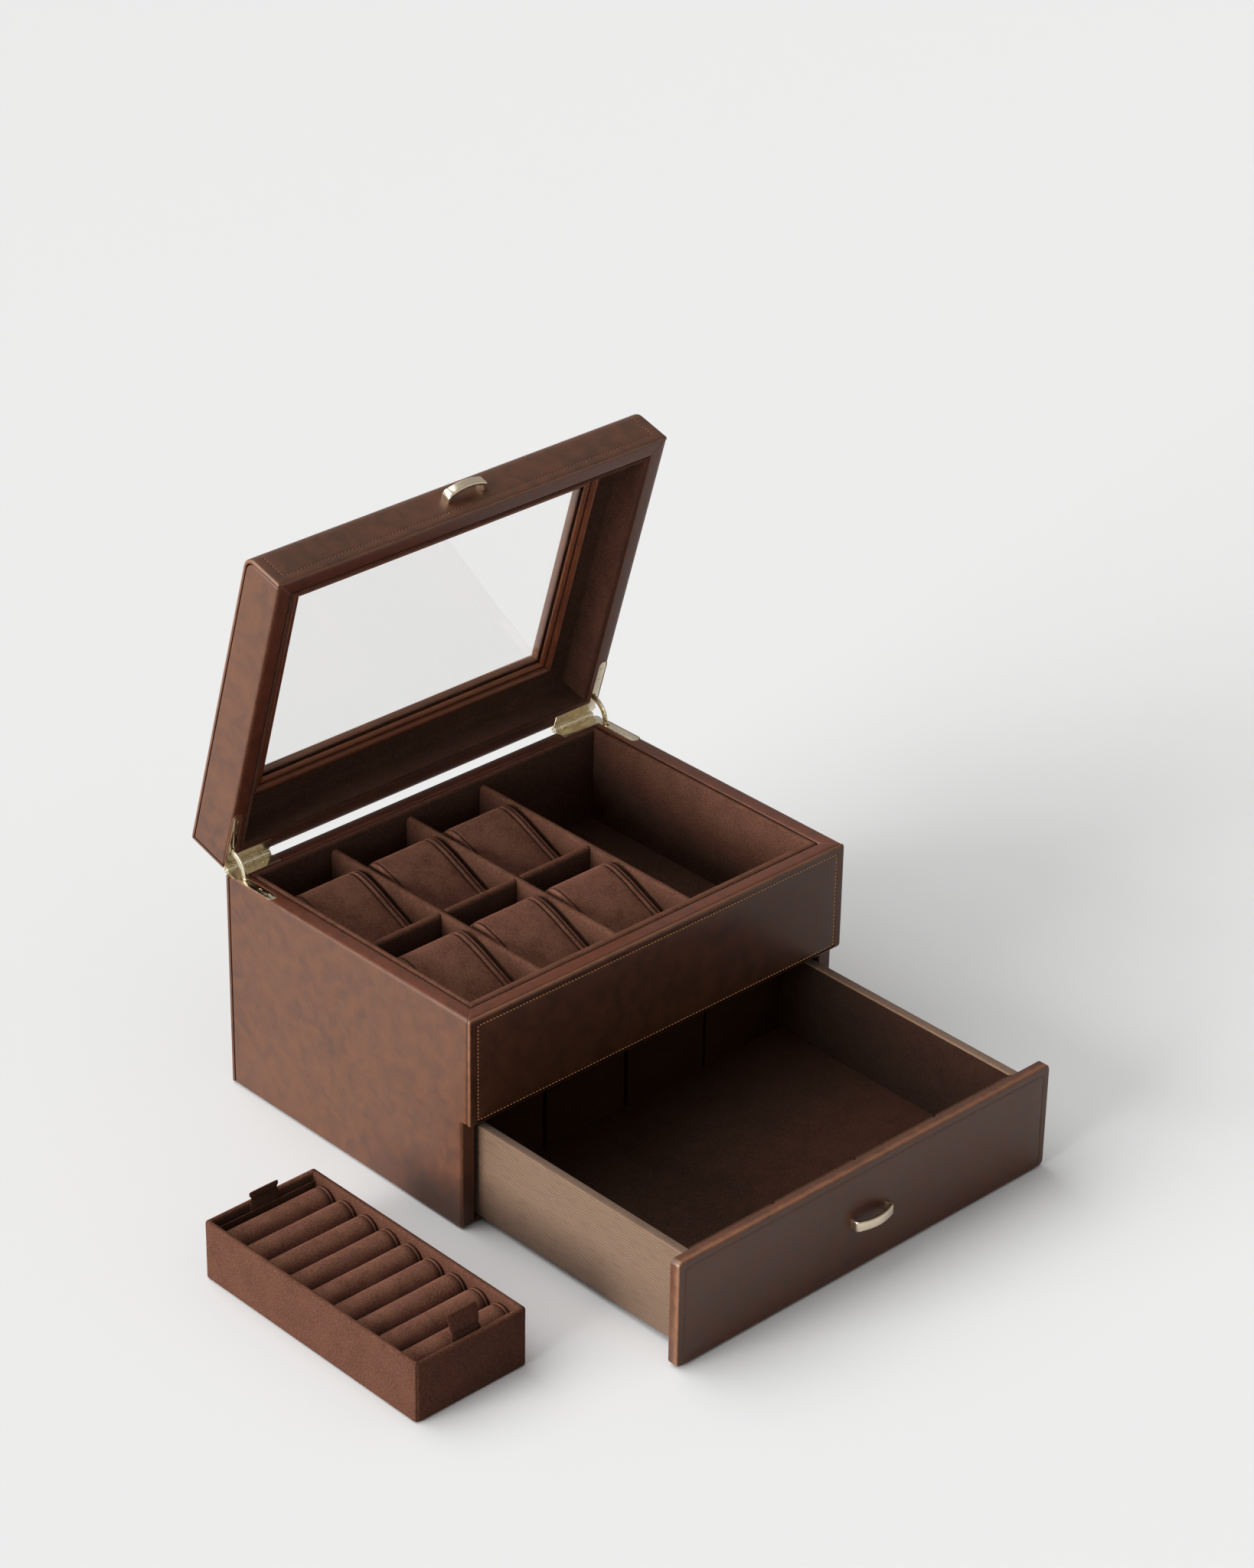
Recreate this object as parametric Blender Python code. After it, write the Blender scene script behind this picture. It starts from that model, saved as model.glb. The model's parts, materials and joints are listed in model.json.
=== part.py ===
"""Leather jewellery case with a glazed lid, six watch pillows, a drawer and a lift-out ring tray.

Units are metres. +Z is up, the fronts face -Y and the origin is the middle of the case's underside.
The case stands open: the lid is raised, the drawer is pulled out and the ring tray stands beside it.
"""

import math

import bmesh
import bpy
from mathutils import Matrix

# Case
CASE_WIDTH = 0.330
CASE_DEPTH = 0.240
RIM_Z = 0.160
SIDE_BOARD = 0.012
GAP = 0.0003
UNDERSIDE_Z = 0.0013
FELT_TOP_Z = 0.0010
SKIN = 0.0020  # the leather facing of the fascia
REAR_WRAP = 0.0030
FRONT_SETBACK = 0.0083  # how far the sides stand back behind the closed drawer front
FASCIA_LOW_Z = 0.0817
RAIL_BOARD = 0.0100
BACK_BOARD = 0.0097
SHELF_LOW_Z = 0.0795
SHELF_TOP_Z = 0.0900
BASE_TOP_Z = 0.0043
LINING_SIDE = 0.0052
LINING_FRONT = 0.0064
LINING_BACK = 0.0050

# Compartments
DIVIDER = 0.006
DIVIDER_TOP_Z = 0.155
COMPARTMENT_FLOOR = 0.0010
PILLOW_COLUMNS = 3
COLUMN_WIDTH = 0.0592
CROSS_DIVIDER_Y = -0.0025

# Pillows
PILLOW_WIDTH = 0.0562
PILLOW_LENGTH = 0.0880
PILLOW_HEIGHT = 0.0640
PILLOW_RIDGE = 0.0670  # from the pillow's front end to the top of its ridge
PILLOW_CLEARANCE = 0.0022

# Lid
LID_LOW_Z = 0.161
LID_HEIGHT = 0.034
LID_EDGE_RADIUS = 0.009
LID_ANGLE = math.radians(74)
WINDOW_INSET = 0.043
WINDOW_BOARD = 0.0067
GLASS_INSET = 0.036
GLASS_THICKNESS = 0.0026
BEAD_INSET = 0.0318
BEAD_LOW_Z = 0.1805
LID_LINING = 0.0035
LID_BAND_Z = 0.181

# Hinges and stays
HINGE_Y = 0.1228
HINGE_Z = 0.1605
BARREL_RADIUS = 0.0023
PIN_RADIUS = 0.0010
PIN_HOLE_RADIUS = 0.0013
KNUCKLES = 5
BARREL_LENGTH = 0.036
BARREL_OUTER_X = 0.162
LEAF = 0.0016
ARM_WIDTH = 0.0065
ARM_OUTER_X = 0.1637
ARM_FRONT_Y = 0.0745
REAR_ARM_FRONT_Y = 0.1108
REBATE_CLEARANCE = 0.0004
STAY_X = 0.160
STAY_THICKNESS = 0.0012
STAY_INNER_RADIUS = 0.0143
STAY_OUTER_RADIUS = 0.0184
STAY_HALF_SPAN = math.radians(57.5)
SLOT_WIDTH = 0.0022
SLOT_CLEARANCE = 0.0012
SLOT_HALF_SPAN = math.radians(62)

# Drawer, at its closed place
DRAWER_OUT = 0.189
DRAWER_FRONT = 0.0080
DRAWER_TOP_Z = 0.0785
DRAWER_BOX_HALF_WIDTH = 0.150
DRAWER_BOX_LOW_Z = 0.0048
DRAWER_BOX_TOP_Z = 0.073
DRAWER_BOX_BACK_Y = 0.108
DRAWER_WALL = 0.0065
DRAWER_FLOOR_Z = 0.011
GROOVE_WIDTH = 0.003
GROOVE_DEPTH = 0.003
GROOVE_SPACING = 0.072

# Pulls
PULL_LENGTH = 0.033
PULL_HEIGHT = 0.0078
PULL_END_REACH = 0.0075
PULL_MIDDLE_REACH = 0.0100
PULL_BAR = 0.0027
PULL_FOOT = 0.0032
LID_PULL_Z = 0.1775
DRAWER_PULL_Z = 0.0385

# Ring tray, standing left of the case
TRAY_X = -0.2725
TRAY_Y = -0.1435
TRAY_WIDTH = 0.0885
TRAY_LENGTH = 0.201
TRAY_HEIGHT = 0.043
TRAY_WALL = 0.0045
TRAY_FLOOR = 0.003
ROLLS = 9
ROLL_PITCH = 0.0208
ROLL_RADIUS = 0.0102
ROLL_CENTRE_Z = 0.0283
TAB_WIDTH = 0.023
TAB_THICKNESS = 0.0017
TAB_TOP_Z = 0.058
TAB_LEAN = 0.006


def clear_scene():
    for item in list(bpy.data.objects):
        bpy.data.objects.remove(item, do_unlink=True)


def make_material(name, colour, roughness, metallic=0.0):
    material = bpy.data.materials.new(name)
    material.use_nodes = True
    shader = material.node_tree.nodes["Principled BSDF"]
    shader.inputs["Base Color"].default_value = (*colour, 1.0)
    shader.inputs["Roughness"].default_value = roughness
    shader.inputs["Metallic"].default_value = metallic
    return material


def make_materials():
    glass = make_material("clear_glass", (0.92, 0.94, 0.94), 0.03)
    glass.node_tree.nodes["Principled BSDF"].inputs["Transmission Weight"].default_value = 1.0
    return {
        "leather": make_material("brown_leather", (0.085, 0.035, 0.022), 0.42),
        "russet": make_material("russet_edge_leather", (0.24, 0.085, 0.035), 0.45),
        "suede": make_material("brown_microsuede", (0.075, 0.038, 0.027), 0.95),
        "linen": make_material("tan_linen", (0.30, 0.18, 0.11), 0.9),
        "felt": make_material("dark_felt", (0.03, 0.022, 0.018), 1.0),
        "nickel": make_material("champagne_nickel", (0.62, 0.58, 0.50), 0.22, 1.0),
        "glass": glass,
    }


def place(mesh, name, material, parent=None, origin=(0.0, 0.0, 0.0)):
    """Wraps a bmesh built in closed-case coordinates; origin is where its parent stands there."""
    bmesh.ops.translate(mesh, verts=mesh.verts, vec=[-value for value in origin])
    bmesh.ops.recalc_face_normals(mesh, faces=mesh.faces)
    data = bpy.data.meshes.new(name)
    mesh.to_mesh(data)
    mesh.free()
    item = bpy.data.objects.new(name, data)
    bpy.context.scene.collection.objects.link(item)
    if material:
        data.materials.append(material)
    if parent:
        item.parent = parent
    return item


def extruded(outline, low, high, axis):
    """A bmesh prism: the outline lies square to the axis and runs from low to high along it."""
    lift = {
        "x": lambda point, along: (along, point[0], point[1]),
        "y": lambda point, along: (point[0], along, point[1]),
        "z": lambda point, along: (point[0], point[1], along),
    }[axis]
    mesh = bmesh.new()
    lower = [mesh.verts.new(lift(point, low)) for point in outline]
    upper = [mesh.verts.new(lift(point, high)) for point in outline]
    mesh.faces.new(lower)
    mesh.faces.new(upper)
    for index in range(len(outline)):
        after = (index + 1) % len(outline)
        mesh.faces.new((lower[index], lower[after], upper[after], upper[index]))
    return mesh


def block(low, high):
    outline = [(low[0], low[1]), (high[0], low[1]), (high[0], high[1]), (low[0], high[1])]
    return extruded(outline, low[2], high[2], "z")


def arc(centre, radius, start, end, steps):
    """Points on a circle from the start to the end angle, in degrees."""
    points = []
    for index in range(steps + 1):
        angle = math.radians(start + (end - start) * index / steps)
        points.append((centre[0] + radius * math.cos(angle), centre[1] + radius * math.sin(angle)))
    return points


def rectangle(half_x, half_y, inset):
    x = half_x - inset
    y = half_y - inset
    return [(-x, -y), (x, -y), (x, y), (-x, y)]


def mitred_ring(profile):
    """A closed frame: each profile point is an inset from the lid's outer edge and a height."""
    mesh = bmesh.new()
    rows = []
    for inset, height in profile:
        corners = rectangle(CASE_WIDTH / 2, CASE_DEPTH / 2, inset)
        rows.append([mesh.verts.new((x, y, height)) for x, y in corners])
    for index, row in enumerate(rows):
        following = rows[(index + 1) % len(rows)]
        for corner in range(4):
            after = (corner + 1) % 4
            mesh.faces.new((row[corner], row[after], following[after], following[corner]))
    return mesh


def cut(target, cutter):
    cutter.hide_render = True
    cutter.display_type = "WIRE"
    modifier = target.modifiers.new("cut_" + cutter.name, "BOOLEAN")
    modifier.operation = "DIFFERENCE"
    modifier.object = cutter


def join(target, addition):
    addition.hide_render = True
    addition.display_type = "WIRE"
    modifier = target.modifiers.new("join_" + addition.name, "BOOLEAN")
    modifier.operation = "UNION"
    modifier.object = addition


def make_empty(name, location, angle=0.0):
    empty = bpy.data.objects.new(name, None)
    empty.location = location
    empty.rotation_euler = (angle, 0.0, 0.0)
    bpy.context.scene.collection.objects.link(empty)
    return empty


def leaf_outline(side, grow=0.0):
    """An L seen from above: a side arm with a round end and a rear arm that runs to the barrel."""
    outer = ARM_OUTER_X + grow
    inner = ARM_OUTER_X - ARM_WIDTH - grow
    radius = (outer - inner) / 2
    end = arc((inner + radius, ARM_FRONT_Y - grow + radius), radius, 0, -180, 6)
    rear_x = BARREL_OUTER_X - BARREL_LENGTH - grow
    back = CASE_DEPTH / 2 + grow
    front = REAR_ARM_FRONT_Y - grow
    outline = [*end, (inner, front), (rear_x, front), (rear_x, back), (outer, back)]
    return [(side * x, y) for x, y in outline]


def stay_sector(inner, outer, start, end, steps):
    """A piece of a flat ring about the hinge axis, in (y, z). Angle 0 points forwards, 90 up."""
    centre = (HINGE_Y, HINGE_Z)
    far = arc(centre, outer, 180 - start, 180 - end, steps)
    near = arc(centre, inner, 180 - end, 180 - start, steps)
    return far + near


def stay_slot(name, side, low, high):
    """The cutter for the pocket that a stay slides in."""
    outline = stay_sector(
        STAY_INNER_RADIUS - SLOT_CLEARANCE, STAY_OUTER_RADIUS + SLOT_CLEARANCE, low, high, 10
    )
    x = side * STAY_X
    return place(extruded(outline, x - SLOT_WIDTH / 2, x + SLOT_WIDTH / 2, "x"), name, None)


def ride_on(item, parent, origin):
    """Parents an item built in closed-case coordinates to an empty that stands at origin there."""
    item.data.transform(Matrix.Translation([-value for value in origin]))
    item.parent = parent


def make_side_panel(side, name, material):
    """An upper ear meets the fascia; below it the edge steps back for the drawer front."""
    ear_y = -CASE_DEPTH / 2 + SKIN + GAP
    low_y = -CASE_DEPTH / 2 + FRONT_SETBACK
    back_y = CASE_DEPTH / 2 - REAR_WRAP - GAP
    radius = 0.003
    outline = [(low_y, UNDERSIDE_Z), (back_y, UNDERSIDE_Z), (back_y, RIM_Z), (ear_y, RIM_Z)]
    outline += arc((ear_y + radius, FASCIA_LOW_Z + radius), radius, 180, 270, 4)
    outline += [(low_y, FASCIA_LOW_Z)]
    outer = side * CASE_WIDTH / 2
    inner = side * (CASE_WIDTH / 2 - SIDE_BOARD)
    return place(extruded(outline, outer, inner, "x"), name, material)


def make_back_panel(material):
    """The board stands between the sides, and its leather wraps over their rear edges."""
    half = CASE_WIDTH / 2
    board = half - SIDE_BOARD - GAP
    back_y = CASE_DEPTH / 2
    wrap_y = back_y - REAR_WRAP
    front_y = back_y - BACK_BOARD
    outline = [(-half, back_y), (-half, wrap_y), (-board, wrap_y), (-board, front_y)]
    outline += [(board, front_y), (board, wrap_y), (half, wrap_y), (half, back_y)]
    return place(extruded(outline, UNDERSIDE_Z, RIM_Z, "z"), "back_panel", material)


def make_carcass(mats):
    """The outer boards, the shelf above the drawer, the base and the felt under it."""
    panels = {
        side: make_side_panel(side, name, mats["leather"])
        for side, name in ((-1, "side_panel_left"), (1, "side_panel_right"))
    }
    back = make_back_panel(mats["leather"])
    half = CASE_WIDTH / 2
    inside = half - SIDE_BOARD - GAP
    front_y = -CASE_DEPTH / 2
    back_y = CASE_DEPTH / 2 - BACK_BOARD - GAP

    skin_y = front_y + SKIN
    crown = 0.0008
    facing = [(skin_y, FASCIA_LOW_Z), (skin_y, RIM_Z), (front_y + crown, RIM_Z)]
    facing += [(front_y, RIM_Z - crown), (front_y, FASCIA_LOW_Z + crown)]
    facing += [(front_y + crown, FASCIA_LOW_Z)]
    place(extruded(facing, -half, half, "x"), "front_fascia", mats["leather"])

    rail_y = skin_y + GAP
    rail = block((-inside, rail_y, FASCIA_LOW_Z), (inside, rail_y + RAIL_BOARD, RIM_Z))
    place(rail, "fascia_rail", mats["leather"])
    shelf = block(
        (-inside, rail_y + RAIL_BOARD + GAP, SHELF_LOW_Z), (inside, back_y, SHELF_TOP_Z)
    )
    shelf = place(shelf, "mid_shelf", mats["suede"])
    base_front = front_y + DRAWER_FRONT + 2 * GAP
    base = block((-inside, base_front, UNDERSIDE_Z), (inside, back_y, BASE_TOP_Z))
    place(base, "base_panel", mats["leather"])
    margin = 0.005
    felt = block(
        (-half + margin, base_front + margin, 0.0), (half - margin, -front_y - margin, FELT_TOP_Z)
    )
    place(felt, "base_felt", mats["felt"])
    return panels, back, shelf


def make_linings(mats):
    """Suede-covered boards around the upper compartments, standing on the shelf."""
    inside = CASE_WIDTH / 2 - SIDE_BOARD - GAP
    low_z = SHELF_TOP_Z + GAP
    front_y = -CASE_DEPTH / 2 + SKIN + GAP + RAIL_BOARD + GAP
    back_y = CASE_DEPTH / 2 - BACK_BOARD - GAP
    clear_x = inside - LINING_SIDE
    boards = {
        "lining_left": ((-inside, front_y, low_z), (-clear_x, back_y, RIM_Z)),
        "lining_right": ((clear_x, front_y, low_z), (inside, back_y, RIM_Z)),
        "lining_front": (
            (-clear_x + GAP, front_y, low_z),
            (clear_x - GAP, front_y + LINING_FRONT, RIM_Z),
        ),
        "lining_back": (
            (-clear_x + GAP, back_y - LINING_BACK, low_z),
            (clear_x - GAP, back_y, RIM_Z),
        ),
    }
    for name, (low, high) in boards.items():
        place(block(low, high), name, mats["suede"])
    return clear_x, front_y + LINING_FRONT, back_y - LINING_BACK


def divider_outline(centre):
    """A board seen on end, with a round top."""
    radius = DIVIDER / 2
    low_z = SHELF_TOP_Z + GAP
    top = arc((centre, DIVIDER_TOP_Z - radius), radius, 0, 180, 6)
    return [(centre - radius, low_z), (centre + radius, low_z), *top]


def make_dividers(mats, shelf, clear_x, front_y, back_y):
    """Also raises the open compartment's floor on the shelf. Returns the middle of each pillow column."""
    columns = []
    left = -clear_x
    for number in range(1, PILLOW_COLUMNS + 1):
        right = left + COLUMN_WIDTH
        columns.append((left + right) / 2)
        outline = divider_outline(right + DIVIDER / 2)
        place(
            extruded(outline, front_y + GAP, back_y - GAP, "y"),
            f"long_divider_{number}",
            mats["suede"],
        )
        place(
            extruded(divider_outline(CROSS_DIVIDER_Y), left + GAP, right - GAP, "x"),
            f"cross_divider_{number}",
            mats["suede"],
        )
        left = right + DIVIDER
    floor = block(
        (left + GAP, front_y + GAP, SHELF_TOP_Z - COMPARTMENT_FLOOR),
        (clear_x - GAP, back_y - GAP, SHELF_TOP_Z + COMPARTMENT_FLOOR),
    )
    join(shelf, place(floor, "compartment_floor", mats["suede"]))
    return columns


def pillow_outline():
    """Seen from the side in (y, z) from its front lower edge: a long slope up to a round ridge."""
    slope_start = 0.042
    corner = 0.006
    ridge_radius = 0.014
    ridge = (PILLOW_RIDGE, PILLOW_HEIGHT - ridge_radius)
    outline = arc((corner, corner), corner, 270, 180, 3)
    outline += [(0.0, slope_start - corner), (0.003, slope_start)]
    outline += [(0.030, 0.0515)]
    outline += arc(ridge, ridge_radius, 112, 20, 6)
    outline += [(PILLOW_LENGTH - 0.001, 0.030)]
    outline += arc((PILLOW_LENGTH - corner, corner), corner, 0, -90, 3)
    return outline


def make_pillows(mats, columns, front_y):
    """Two rows; a pillow stands at the front of its compartment."""
    starts = {
        "front": front_y + PILLOW_CLEARANCE,
        "rear": CROSS_DIVIDER_Y + DIVIDER / 2 + PILLOW_CLEARANCE,
    }
    for row, start in starts.items():
        for number, centre in enumerate(columns, 1):
            mesh = extruded(pillow_outline(), -PILLOW_WIDTH / 2, PILLOW_WIDTH / 2, "x")
            pillow = place(mesh, f"pillow_{row}_{number}", mats["suede"])
            pillow.location = (centre, start, SHELF_TOP_Z + GAP)


def make_knuckle(name, low_x, high_x, plate_z):
    """One knuckle and the tongue that joins it to its plate, seen along the pin."""
    barrel = arc((HINGE_Y, HINGE_Z), BARREL_RADIUS, 0, 360, 16)[:-1]
    knuckle = place(extruded(barrel, low_x, high_x, "x"), name, None)
    reach = CASE_DEPTH / 2 - 0.001
    tongue = block((low_x, reach, plate_z), (high_x, HINGE_Y - PIN_HOLE_RADIUS / 2, plate_z + LEAF))
    return knuckle, place(tongue, name + "_tongue", None)


def make_leaf(name, side, plate_z, knuckles, material):
    """A hinge leaf with its share of the barrel's knuckles, bored for the pin."""
    plate = extruded(leaf_outline(side), plate_z, plate_z + LEAF, "z")
    leaf = place(plate, name, material)
    parts = []
    pitch = BARREL_LENGTH / KNUCKLES
    for index in knuckles:
        near = side * (BARREL_OUTER_X - index * pitch - GAP / 2)
        far = side * (BARREL_OUTER_X - (index + 1) * pitch + GAP / 2)
        low_x, high_x = sorted((near, far))
        for piece in make_knuckle(f"{name}_knuckle_{index}", low_x, high_x, plate_z):
            join(leaf, piece)
            parts.append(piece)
    bore = arc((HINGE_Y, HINGE_Z), PIN_HOLE_RADIUS, 0, 360, 12)[:-1]
    ends = sorted((side * (BARREL_OUTER_X + 0.002), side * (BARREL_OUTER_X - BARREL_LENGTH - 0.002)))
    bore = place(extruded(bore, *ends, "x"), name + "_bore", None)
    cut(leaf, bore)
    low, high = (-62, 8) if plate_z < HINGE_Z else (-8, 62)
    slot = stay_slot(name + "_slot", side, low, high)
    cut(leaf, slot)
    return leaf, [*parts, bore, slot]


def make_rebate(name, side, low_z, high_z):
    """The cutter for the recess that a leaf is let into."""
    outline = leaf_outline(side, REBATE_CLEARANCE)
    return place(extruded(outline, low_z, high_z, "z"), name, None)


def make_case_hinges(mats, panels, back):
    for side, name in ((-1, "left"), (1, "right")):
        plate_z = HINGE_Z - GAP - LEAF
        make_leaf(f"case_hinge_leaf_{name}", side, plate_z, (0, 2, 4), mats["nickel"])
        rebate = make_rebate(f"case_rebate_{name}", side, plate_z - GAP, RIM_Z + 0.002)
        cut(panels[side], rebate)
        cut(back, rebate)
        slot = stay_slot(f"case_stay_slot_{name}", side, -62, 8)
        cut(panels[side], slot)
        ends = sorted((side * BARREL_OUTER_X, side * (BARREL_OUTER_X - BARREL_LENGTH)))
        pin = arc((HINGE_Y, HINGE_Z), PIN_RADIUS, 0, 360, 12)[:-1]
        place(extruded(pin, *ends, "x"), f"hinge_pin_{name}", mats["nickel"])


def make_stays(mats):
    """Each stay turns half as far as the lid, so it keeps an equal hold in both pockets."""
    for side, name in ((-1, "left"), (1, "right")):
        half = math.degrees(STAY_HALF_SPAN)
        outline = stay_sector(STAY_INNER_RADIUS, STAY_OUTER_RADIUS, -half, half, 18)
        x = side * STAY_X
        mesh = extruded(outline, x - STAY_THICKNESS / 2, x + STAY_THICKNESS / 2, "x")
        pivot = (0.0, HINGE_Y, HINGE_Z)
        parent = make_empty(f"stay_pivot_{name}", pivot, -LID_ANGLE / 2)
        place(mesh, f"stay_{name}", mats["nickel"], parent, pivot)


def lid_rail_meshes(top_z):
    """The side rails run the lid's full depth; the front and back rails stand between them."""
    front_y = -CASE_DEPTH / 2
    back_y = CASE_DEPTH / 2
    outer = CASE_WIDTH / 2
    inner = outer - SIDE_BOARD
    radius = LID_EDGE_RADIUS
    round_edge = arc((front_y + radius, top_z - radius), radius, 180, 90, 6)
    side = [(back_y, LID_LOW_Z), (front_y, LID_LOW_Z), *round_edge, (back_y, top_z)]
    rail_y = front_y + SIDE_BOARD
    front = [(rail_y, LID_LOW_Z), (front_y, LID_LOW_Z), *round_edge, (rail_y, top_z)]
    between = inner - GAP
    return {
        "front": extruded(front, -between, between, "x"),
        "back": block((-between, back_y - SIDE_BOARD, LID_LOW_Z), (between, back_y, top_z)),
        "left": extruded(side, -outer, -inner, "x"),
        "right": extruded(side, inner, outer, "x"),
    }


def make_lid(mats):
    """Everything is built closed and hung on an empty on the hinge axis, which opens it."""
    pivot = (0.0, HINGE_Y, HINGE_Z)
    parent = make_empty("lid_pivot", pivot, -LID_ANGLE)
    top_z = LID_LOW_Z + LID_HEIGHT
    rails = {
        name: place(mesh, f"lid_rail_{name}", mats["leather"], parent, pivot)
        for name, mesh in lid_rail_meshes(top_z).items()
    }

    board_z = top_z - WINDOW_BOARD
    inset = SIDE_BOARD + GAP
    chamfer = 0.0015
    board = [(inset, board_z), (inset, top_z), (WINDOW_INSET - chamfer, top_z)]
    board += [(WINDOW_INSET, top_z - chamfer), (WINDOW_INSET, board_z)]
    place(mitred_ring(board), "window_frame", mats["leather"], parent, pivot)

    glass_top = board_z - GAP
    x = CASE_WIDTH / 2 - GLASS_INSET
    y = CASE_DEPTH / 2 - GLASS_INSET
    glass = block((-x, -y, glass_top - GLASS_THICKNESS), (x, y, glass_top))
    place(glass, "glass_pane", mats["glass"], parent, pivot)

    wall = inset + LID_LINING
    band_end = BEAD_INSET - GAP
    lining = [(inset, LID_LOW_Z + GAP), (wall, LID_LOW_Z + GAP), (wall, LID_BAND_Z)]
    lining += [(band_end, LID_BAND_Z), (band_end, glass_top), (inset, glass_top)]
    place(mitred_ring(lining), "lid_lining", mats["suede"], parent, pivot)

    bead_top = glass_top - GLASS_THICKNESS - GAP
    middle = (BEAD_INSET + WINDOW_INSET) / 2
    half = (WINDOW_INSET - BEAD_INSET) / 2
    bead = [(BEAD_INSET, bead_top)]
    for index in range(7):
        angle = math.radians(180 + 180 * index / 6)
        depth = bead_top - 0.0015 - BEAD_LOW_Z
        bead.append((middle + half * math.cos(angle), BEAD_LOW_Z + depth * (1 + math.sin(angle))))
    bead += [(WINDOW_INSET, bead_top)]
    place(mitred_ring(bead), "glass_bead", mats["russet"], parent, pivot)

    for side, name in ((-1, "left"), (1, "right")):
        plate_z = HINGE_Z + GAP
        leaf, parts = make_leaf(
            f"lid_hinge_leaf_{name}", side, plate_z, (1, 3), mats["nickel"]
        )
        rebate = make_rebate(f"lid_rebate_{name}", side, LID_LOW_Z - 0.002, plate_z + LEAF + GAP)
        slot = stay_slot(f"lid_stay_slot_{name}", side, -8, 62)
        for item in (leaf, *parts, rebate, slot):
            ride_on(item, parent, pivot)
        cut(rails[name], rebate)
        cut(rails["back"], rebate)
        cut(rails[name], slot)

    pull = place(pull_mesh(-CASE_DEPTH / 2 - GAP, LID_PULL_Z), "lid_pull", mats["nickel"])
    ride_on(pull, parent, pivot)


def pull_mesh(face_y, centre_z):
    """A bow seen from above: two feet on the face and a bar whose front swells in the middle."""
    half = PULL_LENGTH / 2
    steps = 10
    front = []
    rear = []
    for index in range(steps + 1):
        share = -1 + 2 * index / steps
        swell = (PULL_MIDDLE_REACH - PULL_END_REACH) * (1 - share * share)
        front.append((share * half, face_y - PULL_END_REACH - swell))
        inner = share * (half - PULL_FOOT)
        rear.append((inner, face_y - PULL_END_REACH - swell + PULL_BAR))
    outline = [(-half, face_y), *front, (half, face_y), (half - PULL_FOOT, face_y)]
    outline += [*reversed(rear), (-half + PULL_FOOT, face_y)]
    return extruded(outline, centre_z - PULL_HEIGHT / 2, centre_z + PULL_HEIGHT / 2, "z")


def grooved_board(name, low, high, groove_face_y, material):
    """A drawer end board with three upright grooves for loose dividers in its inner face."""
    board = place(block(low, high), name, material)
    for number in (-1, 0, 1):
        x = number * GROOVE_SPACING
        groove = block(
            (x - GROOVE_WIDTH / 2, groove_face_y - GROOVE_DEPTH, low[2] - 0.001),
            (x + GROOVE_WIDTH / 2, groove_face_y + GROOVE_DEPTH, high[2] + 0.001),
        )
        cut(board, place(groove, f"{name}_groove_{number + 2}", None))
    return board


def make_drawer(mats):
    """Built at its closed place, then moved out with the drawer's empty."""
    slide = make_empty("drawer_slide", (0.0, -DRAWER_OUT, 0.0))
    before = set(bpy.data.objects)
    front_y = -CASE_DEPTH / 2
    face_back = front_y + DRAWER_FRONT
    half = CASE_WIDTH / 2
    radius = 0.0035
    crown = 0.0015
    outline = arc((-half + radius, UNDERSIDE_Z + radius), radius, 180, 270, 4)
    outline += arc((half - radius, UNDERSIDE_Z + radius), radius, 270, 360, 4)
    outline += [(half, DRAWER_TOP_Z - crown), (half - crown, DRAWER_TOP_Z)]
    outline += [(-half + crown, DRAWER_TOP_Z), (-half, DRAWER_TOP_Z - crown)]
    place(extruded(outline, front_y, face_back, "y"), "drawer_front", mats["leather"])

    wide = DRAWER_BOX_HALF_WIDTH
    low_z = DRAWER_BOX_LOW_Z
    top_z = DRAWER_BOX_TOP_Z
    box_front = face_back + GAP
    chamfer = 0.0012
    for side, name in ((-1, "left"), (1, "right")):
        outer = side * wide
        inner = side * (wide - DRAWER_WALL)
        wall = [(outer, low_z), (outer, top_z - chamfer), (outer - side * chamfer, top_z)]
        wall += [(inner + side * chamfer, top_z), (inner, top_z - chamfer), (inner, low_z)]
        mesh = extruded(wall, box_front, DRAWER_BOX_BACK_Y, "y")
        place(mesh, f"drawer_side_{name}", mats["linen"])
    inside = wide - DRAWER_WALL - GAP
    inner_front = box_front + DRAWER_WALL
    inner_back = DRAWER_BOX_BACK_Y - DRAWER_WALL
    grooved_board(
        "drawer_inner_front",
        (-inside, box_front, low_z),
        (inside, inner_front, top_z),
        inner_front,
        mats["suede"],
    )
    grooved_board(
        "drawer_back",
        (-inside, inner_back, low_z),
        (inside, DRAWER_BOX_BACK_Y, top_z),
        inner_back,
        mats["suede"],
    )
    floor = block(
        (-inside, inner_front + GAP, low_z), (inside, inner_back - GAP, DRAWER_FLOOR_Z)
    )
    place(floor, "drawer_bottom", mats["suede"])
    place(pull_mesh(front_y - GAP, DRAWER_PULL_Z), "drawer_pull", mats["nickel"])
    for item in set(bpy.data.objects) - before:
        item.parent = slide


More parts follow.
